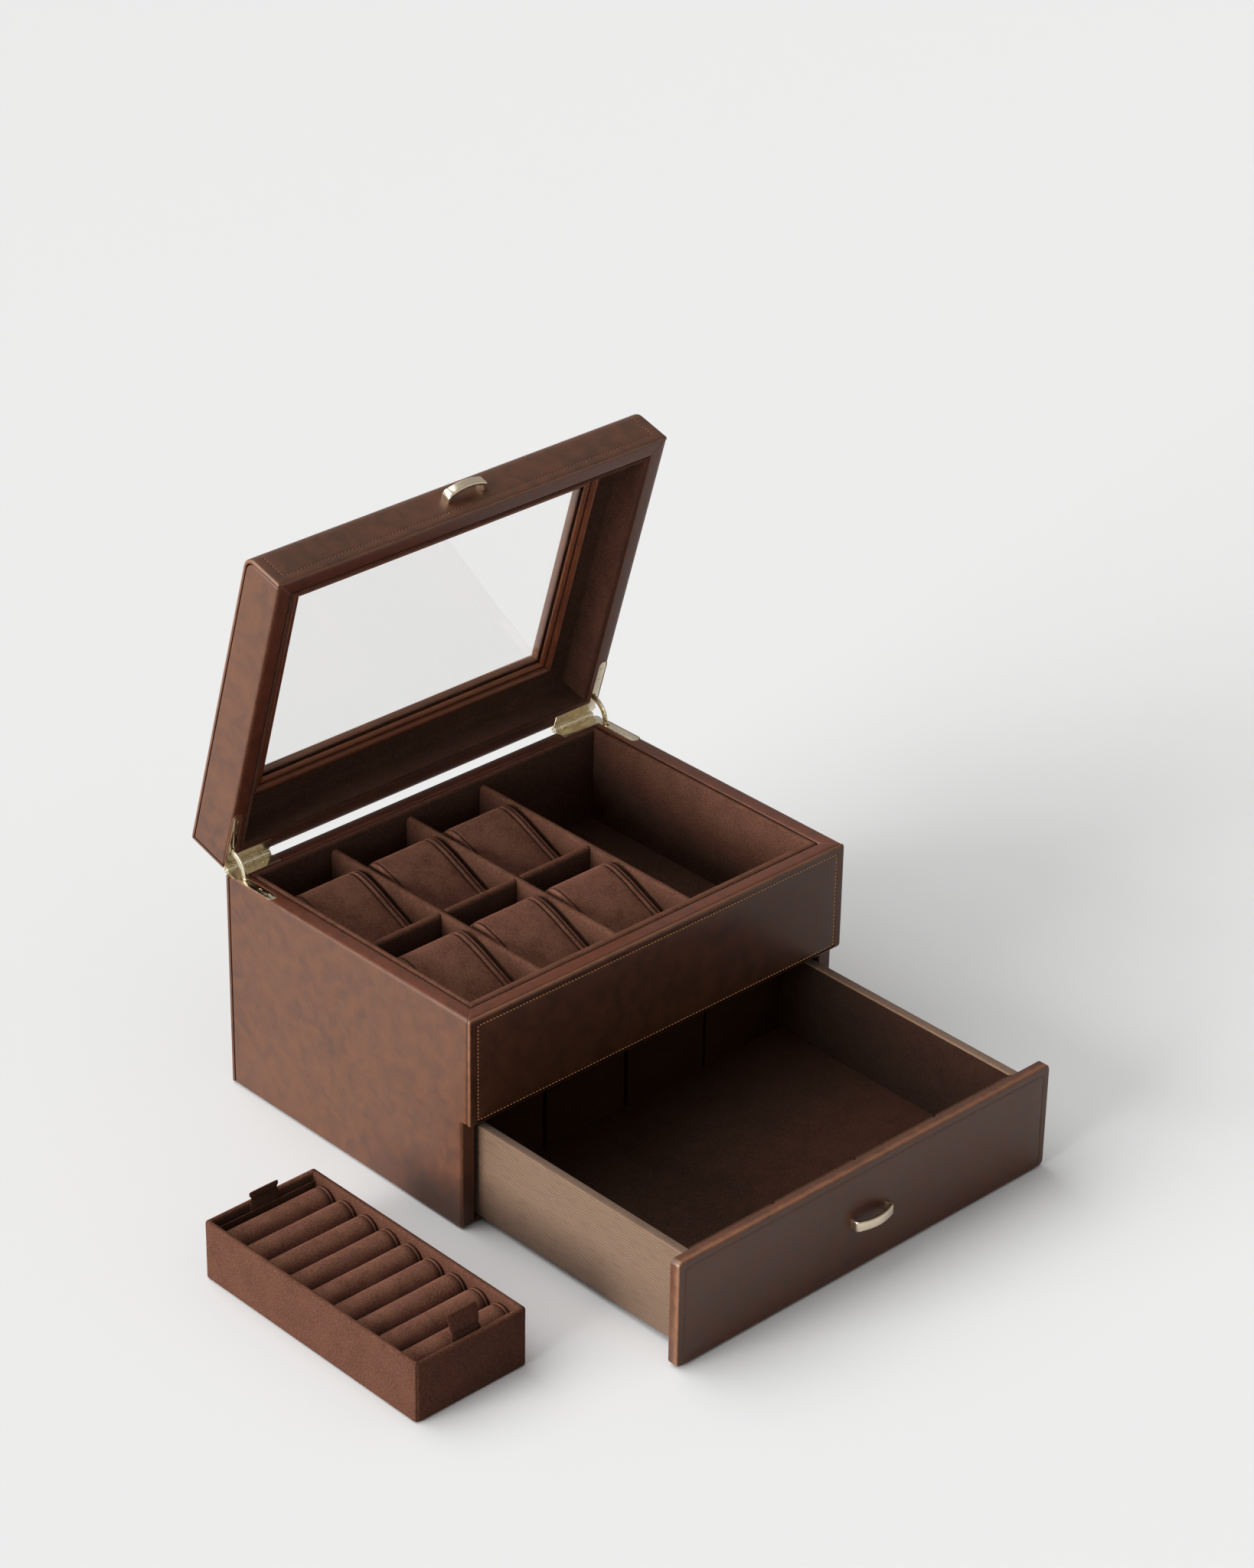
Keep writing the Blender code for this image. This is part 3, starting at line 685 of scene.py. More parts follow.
    def build_metal_satin(self) -> None:
        """Polished plate with faint smears: a gloss value and a hairline height."""
        graph, given, out = self.start("metal_satin", [("Place", "Vector")], ["Smear", "Height"])
        smear = graph.spread(graph.noise(given.outputs["Place"], 90, 2, 0.5, 0.3), 0.3, 0.7)
        stretch = graph.add(
            "ShaderNodeMapping", {"Vector": given.outputs["Place"], "Scale": (0.15, 1.0, 1.0)}
        )
        lines = graph.noise(stretch.outputs["Vector"], 2600, 2, 0.6)
        graph.tree.links.new(smear, out.inputs["Smear"])
        graph.tree.links.new(lines, out.inputs["Height"])


GROUPS = Groups()


@dataclass(frozen=True)
class Finish:
    """What every finish shares: a name and where its pattern is placed."""

    name: str
    coordinates: Coordinates = Coordinates.PLACE

    def begin(self) -> tuple[bpy.types.Material, Graph, bpy.types.Node, bpy.types.NodeSocket]:
        """Starts the material.

        Returns:
            The material, its graph, its Principled node and the place that its patterns read.
        """
        material = bpy.data.materials.new(self.name)
        material.use_nodes = True
        graph = Graph(material.node_tree)
        shader = material.node_tree.nodes["Principled BSDF"]
        if self.coordinates is Coordinates.PLACE:
            place = self.mark(graph, "place").outputs["Vector"]
        else:
            place = graph.add("ShaderNodeTexCoord").outputs["Object"]
        return material, graph, shader, place

    def mark(self, graph: Graph, label: str) -> bpy.types.Node:
        """A node that reads one of the piece's attributes."""
        return graph.add("ShaderNodeAttribute", attribute_name=label, attribute_type="GEOMETRY")

    def group(self, graph: Graph, label: str, **inputs: object) -> bpy.types.Node:
        """Places a shared group with its own values."""
        node = graph.add("ShaderNodeGroup", node_tree=GROUPS.made[label])
        for key, value in inputs.items():
            if isinstance(value, bpy.types.NodeSocket):
                graph.tree.links.new(value, node.inputs[key])
            else:
                node.inputs[key].default_value = value
        return node

    def dress(
        self, graph: Graph, shader: object, colour: object, height: object, depth: float, strength: float
    ) -> None:
        """Joins a colour and a height to the shader.

        Args:
            graph: the material's graph.
            shader: its Principled node.
            colour: for Base Color.
            height: for a Bump node.
            depth: of the relief, in metres.
            strength: of the Bump node.
        """
        graph.tree.links.new(colour, shader.inputs["Base Color"])
        bump = graph.add("ShaderNodeBump", {"Height": height, "Distance": depth, "Strength": strength})
        graph.tree.links.new(bump.outputs["Normal"], shader.inputs["Normal"])


@dataclass(frozen=True)
class Leather(Finish):
    """Waxed pull-up leather with warm clouds, dark creases, and edges painted pale as scuffing and as a painted
    highlight.
    """

    base: Colour = paint(71, 42, 25)
    warm: Colour = paint(89, 50, 24)
    deep: Colour = paint(58, 33, 20)
    # Pale edge colour: scuffed leather and a painted highlight.
    rubbed: Colour = paint(138, 96, 68)
    crease: Colour = paint(24, 11, 7)
    gloss: tuple[float, float] = (0.47, 0.57)
    coat: float = 0.42
    size: float = 1.0
    relief: float = 0.00012

    def build(self) -> bpy.types.Material:
        """Builds the material."""
        material, graph, shader, place = self.begin()
        grain = self.group(graph, "leather_grain", Place=place, Size=self.size)
        scuff_and_highlight_node = self.group(graph, "edge_scuff_and_highlight", Place=place, Mark=self.mark(graph, "rub").outputs["Fac"])
        scuff_and_highlight_mask = scuff_and_highlight_node.outputs["Worn"]
        colour = graph.blend(grain.outputs["Clouds"], self.deep, self.base)
        warmth = graph.maths("MULTIPLY", grain.outputs["Patches"], 0.6)
        colour = graph.blend(warmth, colour, self.warm)
        # Edges painted pale: partly scuffing, partly a painted highlight.
        colour = graph.blend(graph.maths("MULTIPLY", scuff_and_highlight_mask, 0.45), colour, self.rubbed)
        colour = graph.blend(self.mark(graph, "dip").outputs["Fac"], colour, self.crease)
        shine = graph.spread(grain.outputs["Patches"], 0.0, 1.0, self.gloss[0], self.gloss[1])
        graph.tree.links.new(shine, shader.inputs["Roughness"])
        shader.inputs["Specular IOR Level"].default_value = 0.38
        shader.inputs["Coat Weight"].default_value = self.coat
        shader.inputs["Coat Roughness"].default_value = 0.3
        self.dress(graph, shader, colour, grain.outputs["Height"], self.relief, 0.35)
        return material


@dataclass(frozen=True)
class Suede(Finish):
    """Short brushed suede with a velvet sheen, stroked lighter and darker."""

    base: Colour = paint(59, 41, 33)
    stroked: Colour = paint(69, 48, 39)
    # Pale colour for fibre specks, and for edges painted pale as scuffing and as a painted highlight.
    rubbed: Colour = paint(104, 73, 58)
    crease: Colour = paint(18, 10, 7)
    sheen: float = 0.14
    relief: float = 0.00016

    def build(self) -> bpy.types.Material:
        """Builds the material."""
        material, graph, shader, place = self.begin()
        nap = self.group(graph, "suede_nap", Place=place)
        colour = graph.blend(nap.outputs["Stroke"], self.base, self.stroked)
        speck = graph.spread(nap.outputs["Fibre"], 0.38, 0.68, 0.0, 0.6)
        colour = graph.blend(speck, colour, self.rubbed)
        scuff_and_highlight_node = self.group(graph, "edge_scuff_and_highlight", Place=place, Mark=self.mark(graph, "rub").outputs["Fac"])
        # Edges and tops painted pale: partly scuffing, partly a painted highlight.
        colour = graph.blend(graph.maths("MULTIPLY", scuff_and_highlight_node.outputs["Worn"], 0.7), colour, self.rubbed)
        colour = graph.blend(self.mark(graph, "dip").outputs["Fac"], colour, self.crease)
        shader.inputs["Roughness"].default_value = 0.92
        shader.inputs["Specular IOR Level"].default_value = 0.12
        shader.inputs["Sheen Weight"].default_value = self.sheen
        shader.inputs["Sheen Roughness"].default_value = 0.4
        shader.inputs["Sheen Tint"].default_value = paint(204, 144, 118)
        self.dress(graph, shader, colour, nap.outputs["Height"], self.relief, 0.6)
        return material


@dataclass(frozen=True)
class Linen(Finish):
    """Ribbed tan book cloth."""

    base: Colour = paint(86, 65, 49)
    light: Colour = paint(102, 79, 61)
    dark: Colour = paint(72, 53, 39)

    def build(self) -> bpy.types.Material:
        """Builds the material."""
        material, graph, shader, place = self.begin()
        weave = self.group(graph, "linen_weave", Place=place)
        colour = graph.blend(graph.spread(weave.outputs["Rib"], 0.3, 0.72), self.base, self.light)
        colour = graph.blend(graph.spread(weave.outputs["Slub"], 0.45, 1.0, 0.0, 0.35), colour, self.dark)
        colour = graph.blend(self.mark(graph, "dip").outputs["Fac"], colour, self.dark)
        shader.inputs["Roughness"].default_value = 0.85
        shader.inputs["Sheen Weight"].default_value = 0.15
        self.dress(graph, shader, colour, weave.outputs["Height"], 0.0003, 0.8)
        return material


@dataclass(frozen=True)
class Metal(Finish):
    """Pale champagne plate, from mirror bright to satin."""

    base: Colour = paint(222, 208, 182)
    dark: Colour = paint(120, 104, 82)
    gloss: tuple[float, float] = (0.16, 0.28)

    def build(self) -> bpy.types.Material:
        """Builds the material."""
        material, graph, shader, place = self.begin()
        satin = self.group(graph, "metal_satin", Place=place)
        colour = graph.blend(graph.maths("MULTIPLY", satin.outputs["Smear"], 0.12), self.base, self.dark)
        # Painted shade in screw slots and round screw heads, from the dip mark.
        colour = graph.blend(self.mark(graph, "dip").outputs["Fac"], colour, paint(30, 24, 18))
        shine = graph.spread(satin.outputs["Smear"], 0.0, 1.0, self.gloss[0], self.gloss[1])
        graph.tree.links.new(shine, shader.inputs["Roughness"])
        shader.inputs["Metallic"].default_value = 1.0
        self.dress(graph, shader, colour, satin.outputs["Height"], 0.000005, 0.08)
        return material


@dataclass(frozen=True)
class Thread(Finish):
    """Waxed sewing thread."""

    base: Colour = paint(196, 142, 92)

    def build(self) -> bpy.types.Material:
        """Builds the material."""
        material, graph, shader, place = self.begin()
        strands = graph.noise(place, 3200, 2, 0.6)
        colour = graph.blend(graph.spread(strands, 0.3, 0.7, 0.0, 0.5), self.base, paint(74, 44, 26))
        shader.inputs["Roughness"].default_value = 0.6
        self.dress(graph, shader, colour, strands, 0.00008, 0.5)
        return material


@dataclass(frozen=True)
class Felt(Finish):
    """Dark pressed felt."""

    base: Colour = paint(46, 34, 30)

    def build(self) -> bpy.types.Material:
        """Builds the material."""
        material, graph, shader, place = self.begin()
        nap = self.group(graph, "suede_nap", Place=place)
        colour = graph.blend(
            graph.maths("MULTIPLY", nap.outputs["Fibre"], 0.6), self.base, paint(74, 58, 52)
        )
        shader.inputs["Roughness"].default_value = 0.95
        self.dress(graph, shader, colour, nap.outputs["Height"], 0.0003, 0.8)
        return material


@dataclass(frozen=True)
class Glass(Finish):
    """Clear window glass with the faintest wipe marks."""

    def build(self) -> bpy.types.Material:
        """Builds the material."""
        material, graph, shader, place = self.begin()
        smear = graph.noise(place, 14, 2, 0.5)
        graph.tree.links.new(graph.spread(smear, 0.2, 0.9, 0.0, 0.02), shader.inputs["Roughness"])
        shader.inputs["Base Color"].default_value = (1.0, 1.0, 1.0, 1.0)
        shader.inputs["Transmission Weight"].default_value = 1.0
        shader.inputs["IOR"].default_value = 1.35
        return material


@dataclass(frozen=True)
class Palette:
    """Every finish of the case, built once."""

    leather: bpy.types.Material
    edge: bpy.types.Material
    suede: bpy.types.Material
    pillow: bpy.types.Material
    drawer_suede: bpy.types.Material
    inner: bpy.types.Material
    tray: bpy.types.Material
    bead: bpy.types.Material
    screw: bpy.types.Material
    linen: bpy.types.Material
    felt: bpy.types.Material
    hinge: bpy.types.Material
    pull: bpy.types.Material
    glass: bpy.types.Material
    thread: bpy.types.Material
    dark_thread: bpy.types.Material


def make_palette() -> Palette:
    """Builds the finishes."""
    GROUPS.build()
    at_object = Coordinates.OBJECT
    russet = Leather(
        "russet_edge_leather", base=paint(84, 45, 27), warm=paint(
            100, 51, 26
        ), deep=paint(70, 37, 23), size=1.4
    )
    return Palette(
        leather=Leather("case_leather_hide").build(),
        edge=russet.build(),
        suede=Suede("lining_suede").build(),
        pillow=Suede(
            "pad_suede",
            base=paint(77, 52, 42),
            stroked=paint(94, 66, 54),
            rubbed=paint(120, 88, 74),
            sheen=0.2,
        ).build(),
        # A darker copy of the lining suede: painted shade for the drawer's inside.
        drawer_suede=Suede(
            "drawer_suede",
            at_object,
            base=paint(50, 34, 25),
            stroked=paint(59, 41, 31),
            rubbed=paint(78, 56, 44),
        ).build(),
        # A still darker copy of the suede: painted shade on the drawer's inner side sheets.
        inner=Suede(
            "drawer_sheet_suede_painted_shade",
            base=paint(36, 24, 18),
            stroked=paint(42, 29, 21),
            rubbed=paint(58, 41, 32),
            sheen=0.06,
        ).build(),
        # Set a little apart from the lining suede to make up for the light on the tray: partly painted light.
        tray=Suede("tray_suede", base=paint(61, 41, 33), stroked=paint(71, 48, 39)).build(),
        # Lighter than the rim leather, partly to paint in light that reaches the beads through the glass.
        bead=Leather(
            "bead_leather", base=paint(108, 63, 37), warm=paint(124, 72, 39), deep=paint(92, 53, 32)
        ).build(),
        screw=Metal("screw_plate", base=paint(226, 214, 188)).build(),
        linen=Linen("drawer_linen").build(),
        felt=Felt("base_felt_cloth", at_object).build(),
        hinge=Metal("hinge_plate", at_object, base=paint(226, 214, 188)).build(),
        pull=Metal("pull_plate", base=paint(226, 210, 186), gloss=(0.2, 0.32)).build(),
        glass=Glass("window_glass", at_object).build(),
        thread=Thread("tan_thread").build(),
        # A darker copy of the tan thread for the lid and drawer: partly the thread's colour, partly painted
        # shade.
        dark_thread=Thread("brown_thread", base=paint(104, 68, 46)).build(),
    )


# ---------------------------------------------------------------- sewn boards, pads and metalwork


@dataclass
class SewnPanel:
    """A leather-faced board: nested rounded rectangles from its back round its edges to a stitched face.

    Insets are given for the left, right, bottom and top sides, so that the stitched line may stand at a
    different distance from each edge. Between two rings the skin is straight.
    """

    low: tuple[float, float]
    high: tuple[float, float]
    back: float
    face: float
    seam: tuple[float, float, float, float]
    corner: float = 1.6
    edge: float = 1.1
    top_edge: float = 1.5

    def ring(self, insets: Array, radius: float) -> Array:
        """A rounded rectangle after its four insets."""
        low = (self.low[0] + insets[0], self.low[1] + insets[2])
        high = (self.high[0] - insets[1], self.high[1] - insets[3])
        return box_outline(low, high, max(radius, 0.4), 4)

    def surface(self, rear: Sequence[tuple[tuple[float, float, float, float], float]] = ()) -> Surface:
        """Builds the board.

        Args:
            rear: insets and level of rings behind the board's back, such as a narrower rail.
        Returns:
            Its skin, facing -Y.
        """
        one = np.ones(4)
        round_in = self.edge * one * np.array((1, 1, 1, self.top_edge / self.edge))
        rings: list[tuple[Array, float, float, float, float]] = []
        rings += [(np.array(insets, float), level, 0.4, 0.0, 0.0) for insets, level in rear]
        rings += [
            (0.5 * one, self.back, self.corner, 0.0, 0.0),
            (0.0 * one, self.back - 0.3, self.corner, 0.1, 0.0),
        ]
        for turn in np.linspace(0, math.pi / 2, 5):
            drop = self.edge * (1 - math.sin(turn))
            shrink = round_in * (1 - math.cos(turn))
            # The rolled edge is painted pale: partly scuffing, partly a painted highlight.
            rings.append((shrink, self.face + drop, self.corner, 0.95 * math.cos(turn) ** 0.5 + 0.05, 0.0))
        rings.append((round_in + 1.1, self.face, self.corner, 0.1, 0.0))
        seam = np.array(self.seam)
        for shift, drop, dip in (
            (-1.5, 0.0, 0.0), (-0.7, 0.1, 0.12), (0.0, 0.34, 0.5), (0.7, 0.1, 0.12), (1.6, 0.0, 0.0)
        ):
            rings.append((seam + shift, self.face + drop, self.corner, 0.0, dip))
        rings.append((seam + 14.0, self.face - 0.1, self.corner, 0.0, 0.0))
        skin = Surface()
        grid = np.stack(
            [Axis.Y.stand(self.ring(insets, radius), level) for insets, level, radius, _, _ in rings]
        )
        rub = np.array([ring[3] for ring in rings])
        dip = np.array([ring[4] for ring in rings])
        return skin.loft(grid, rub=rub, dip=dip)

    def threads(self) -> Surface:
        """Stitches round the face, in its groove."""
        outline = self.ring(np.array(self.seam), self.corner)
        path = Axis.Y.stand(np.concatenate((outline, outline[:1])), self.face + 0.16)
        surface = Surface()
        stitches(surface, path, (0.0, -1.0, 0.0))
        return surface


def inflate(item: bpy.types.Object, held: Array, pressure: float, reach: float) -> None:
    """Swells a closed cloth skin against its held seams, and keeps the result in the mesh.

    The cloth runs without gravity for twenty frames, and no point moves further than the reach.

    Args:
        item: the pad, at its place.
        held: how firmly each point is held, 0 to 1.
        pressure: inside the skin.
        reach: furthest move, in metres.
    """
    scene = bpy.context.scene
    group = item.vertex_groups.new(name="held")
    for level in np.unique(held):
        if level > 0:
            group.add(np.flatnonzero(held == level).tolist(), float(level), "REPLACE")
    cloth = item.modifiers.new("cloth", "CLOTH")
    cloth.settings.quality = 6
    cloth.settings.mass = 0.05
    cloth.settings.tension_stiffness = 12.0
    cloth.settings.compression_stiffness = 12.0
    cloth.settings.bending_stiffness = 0.8
    cloth.settings.use_pressure = True
    cloth.settings.uniform_pressure_force = pressure
    cloth.settings.vertex_group_mass = "held"
    cloth.settings.effector_weights.gravity = 0.0
    cloth.point_cache.frame_start, cloth.point_cache.frame_end = 1, 20
    rest = np.zeros(len(item.data.vertices) * 3, np.float32)
    item.data.vertices.foreach_get("co", rest)
    for frame_number in range(1, 21):
        scene.frame_set(frame_number)
    solved = item.evaluated_get(bpy.context.evaluated_depsgraph_get())
    moved = np.zeros_like(rest)
    solved.data.vertices.foreach_get("co", moved)
    shift = (moved - rest).reshape(-1, 3)
    size = np.linalg.norm(shift, axis=1, keepdims=True)
    shift *= np.minimum(1.0, reach / np.maximum(size, 1e-9))
    log.info("%s swelled by up to %.2f mm", item.name, size.max() / MM)
    item.modifiers.remove(cloth)
    item.vertex_groups.remove(group)
    item.data.vertices.foreach_set("co", (rest.reshape(-1, 3) + shift).ravel())
    item.data.update()
    scene.frame_set(1)


def even_outline(outline: Array, count: int) -> Array:
    """The same closed outline with evenly spaced points."""
    closed = np.concatenate((outline, outline[:1]))
    steps = np.r_[0, np.cumsum(np.linalg.norm(np.diff(closed, axis=0), axis=1))]
    at = np.arange(count) * steps[-1] / count
    return np.stack([np.interp(at, steps, closed[:, k]) for k in range(2)], axis=1)


@dataclass
class Pad:
    """A stuffed pad: a closed profile carried across its width, drawn in at its seams, with rounded ends."""

    profile: Array
    width: float
    seams: tuple[float, ...]
    end_round: float
    around: int = 72

    def stations(self) -> Array:
        """Places across the width, closer at the ends and seams."""
        half = self.width / 2
        turn = np.linspace(0, math.pi / 2, 5)
        ends = half - self.end_round * (1 - np.sin(turn))
        marks = [ends, -ends]
        for seam in self.seams:
            marks.append(seam + np.array([-0.9, -0.35, 0.0, 0.35, 0.9]))
        marks.append(np.linspace(-half + self.end_round + 1.5, half - self.end_round - 1.5, 19))
        across = np.unique(np.round(np.concatenate(marks), 2))
        keep = np.r_[True, np.diff(across) > 0.3]
        return across[keep]

    def surface(self) -> tuple[Surface, Array]:
        """Builds the pad about the middle of its width.

        The inset falls as a quarter circle at both ends; at a seam the skin is drawn in by a narrow bell.

        Returns:
            The skin, and how firmly each of its points is held.
        """
        across = self.stations()
        outline = even_outline(self.profile, self.around)
        from_end = self.width / 2 - np.abs(across)
        share = np.clip(1 - from_end / self.end_round, 0, 1)
        drawn = self.end_round * (1 - np.sqrt(1 - share**2))
        gaps = np.abs(across[:, None] - np.array(self.seams)[None])
        seam = bump_line(gaps, 0.55).max(axis=1) if self.seams else np.zeros_like(across)
        sections = np.stack([inset(outline, amount) for amount in drawn + 0.75 * seam])
        rings = np.insert(sections, 0, across[:, None], axis=-1)
        low = rings[..., 2].min()
        flat = np.clip(1 - (rings[..., 2] - low) / 6.0, 0, 1)
        skin = Surface()
        skin.loft(rings, dip=np.broadcast_to((seam * 0.9)[:, None], rings.shape[:2]))
        held = np.maximum((seam > 0.5)[:, None] * 1.0, (flat > 0.4) * 1.0)
        held[[0, -1]] = 1.0
        return skin, held.reshape(-1)


def swelled(surface: Surface, held: Array, pressure: float, reach: float, low: Array, high: Array) -> Array:
    """Runs the cloth on one pad and returns its points, kept within a box.

    Args:
        surface: the pad's skin about its own middle.
        held: how firmly each point is held.
        pressure: inside the skin.
        reach: furthest move, in millimetres.
        low: lowest corner that it may fill.
        high: highest corner.
    Returns:
        Its points in millimetres.
    """
    points = surface.all_points()
    form = bpy.data.objects.new("pad_form", bpy.data.meshes.new("pad_form"))
    form.data.from_pydata((points * MM).tolist(), [], surface.faces)
    bpy.context.scene.collection.objects.link(form)
    inflate(form, held, pressure, reach * MM)
    found = np.zeros(points.size, np.float32)
    form.data.vertices.foreach_get("co", found)
    bpy.data.objects.remove(form)
    return np.clip(found.reshape(-1, 3) / MM, low, high)


class Grip(Enum):
    """Where the two pulls stand: face, height, body and the plain solid that each stands for."""

    LID = (-120.0, 177.5, Body.LID, "lid_pull")
    DRAWER = (-120.0, 38.5, Body.DRAWER, "drawer_pull")


@dataclass
class BowPull:
    """A small bow: a rounded flat section carried out from one foot, along an arched bar and back again."""

    grip: Grip
    length: float = 33.0
    height: float = 7.8
    bar: float = 2.7
    end_reach: float = 7.4
    middle_reach: float = 9.9
    bend: float = 2.4

    def path(self) -> Array:
        """The middle line in plan: x across, then how far it stands out."""
        half = self.length / 2 - self.bar / 2
        reach = self.end_reach - self.bar / 2
        turn = np.linspace(0, math.pi / 2, 7)
        out = np.linspace(-1.0, reach - self.bend, 5)[:-1]
        left = np.stack((np.full_like(out, -half), out), axis=1)
        bend = np.stack(
            (-half + self.bend * (1 - np.cos(turn)), reach - self.bend + self.bend * np.sin(turn)), axis=1
        )
        share = np.linspace(-1, 1, 17)[1:-1]
        inner = half - self.bend
        arch = np.stack(
            (share * inner, reach + (self.middle_reach - self.end_reach) * (1 - share**2)), axis=1
        )
        first = np.concatenate((left, bend))
        return np.concatenate((first, arch, (first * (-1, 1))[::-1]))

    def surface(self) -> Surface:
        """Carries the section along the path, with its thickness across the path and its height upright."""
        face, middle, _, _ = self.grip.value
        path = self.path()
        ahead = unit(np.gradient(path, axis=0))
        across = np.stack((-ahead[:, 1], ahead[:, 0]), axis=1)
        section = box_outline((-self.bar / 2, -self.height / 2), (self.bar / 2, self.height / 2), 0.85, 4)
        slim = 1 - 0.14 * np.clip(path[:, 1:] / self.end_reach, 0, 1) ** 2
        plan = path[:, None, :] + section[None, :, :1] * across[:, None, :]
        upright = np.broadcast_to(section[None, :, 1] * slim, plan.shape[:2])
        rings = np.stack((plan[..., 0], face - plan[..., 1], middle + upright), axis=-1)
        return Surface().loft(rings)

    def build(self, palette: Palette) -> None:
        """Makes the pull."""
        _, _, body, node = self.grip.value
        make_piece(node + "_bow", self.surface(), palette.pull, body, [node])


@dataclass
class Screw:
    """A countersunk screw head: a shallow dome on a square grid squeezed to a disc, with a crossed slot."""

    radius: float = 1.95
    arm: float = 0.34
    reach: float = 1.15
    depth: float = 0.55

    def add_to(self, surface: Surface, middle: tuple[float, float, float], facing: int) -> None:
        """Adds a head.

        A grid point (u, v) goes to u * sqrt(1 - v^2 / 2), v * sqrt(1 - u^2 / 2). The slot is where either
        coordinate is within the arm's half width and both are within its reach.

        Args:
            surface: what it is added to.
            middle: of the head's face.
            facing: 1 for up and -1 for down.
        """
        line = np.array([0, 0.17, 0.21, 0.4, 0.56, 0.62, 0.8, 0.93, 1.0])
        line = np.r_[-line[:0:-1], line]
        u, v = np.meshgrid(line, line, indexing="ij")
        x, y = u * np.sqrt(1 - v**2 / 2) * self.radius, v * np.sqrt(1 - u**2 / 2) * self.radius
        far = np.hypot(x, y) / self.radius
        near, wide = np.minimum(abs(x), abs(y)), np.maximum(abs(x), abs(y))
        slot = (near < self.arm + 0.01) & (wide < self.reach)
        top = 0.16 - 0.3 * far**4 - self.depth * slot
        rim = np.clip((far - 0.86) / 0.14, 0, 1)
        count = len(line)
        upper = np.stack((x, y, facing * top), axis=-1)
        lower = np.stack((x * 0.96, y * 0.96, np.full_like(x, -facing * 0.9)), axis=-1)
        grid = quads(count, count)
        edge = np.arange(count * count).reshape(count, count)
        border = np.concatenate((edge[0, :-1], edge[:-1, -1], edge[-1, :0:-1], edge[:0:-1, 0]))
        after = np.roll(border, -1)
        wall = np.stack((border, after, after + count * count, border + count * count), axis=1)
        points = np.stack((upper, lower)).reshape(-1, 3) + np.array(middle)
        # Painted shade in the slot and round the rim of the head; the unseen underside is dark too.
        dark = np.concatenate((np.maximum(slot * 0.85, rim).ravel(), np.ones(count * count)))
        surface.add(points, np.concatenate((grid, grid[:, ::-1] + count * count, wall)), 0.0, dark)


SCREW_PLACES = ((160.4, 89.8), (160.4, 80.4), (158.4, 109.7), (137.3, 115.2))


def hinge_screws(side: int, level: float, facing: int) -> Surface:
    """The four screws of one leaf."""
    surface = Surface()
    for x, y in SCREW_PLACES:
        Screw().add_to(surface, (side * x, y, level), facing)
    return surface


def polish(node: str, material: bpy.types.Material, width: float = 0.3) -> None:
    """Gives a kept solid its finish, with its edges eased.

    Args:
        node: the solid's name.
        material: its finish.
        width: of the eased edges, in millimetres.
    """
    item = frame["nodes"][node]
    item.data.materials.clear()
    item.data.materials.append(material)
    if width:
        weld = item.modifiers.new("weld", "WELD")
        weld.merge_threshold = 1e-6
        ease = item.modifiers.new("ease", "BEVEL")
        ease.width = width * MM
        ease.segments = 2
        ease.limit_method = "ANGLE"
        ease.angle_limit = math.radians(35)
        ease.harden_normals = True
    item.data.polygons.foreach_set("use_smooth", [width > 0] * len(item.data.polygons))
    log.info("%s: kept in %s", node, material.name)


# ---------------------------------------------------------------- sub-assemblies


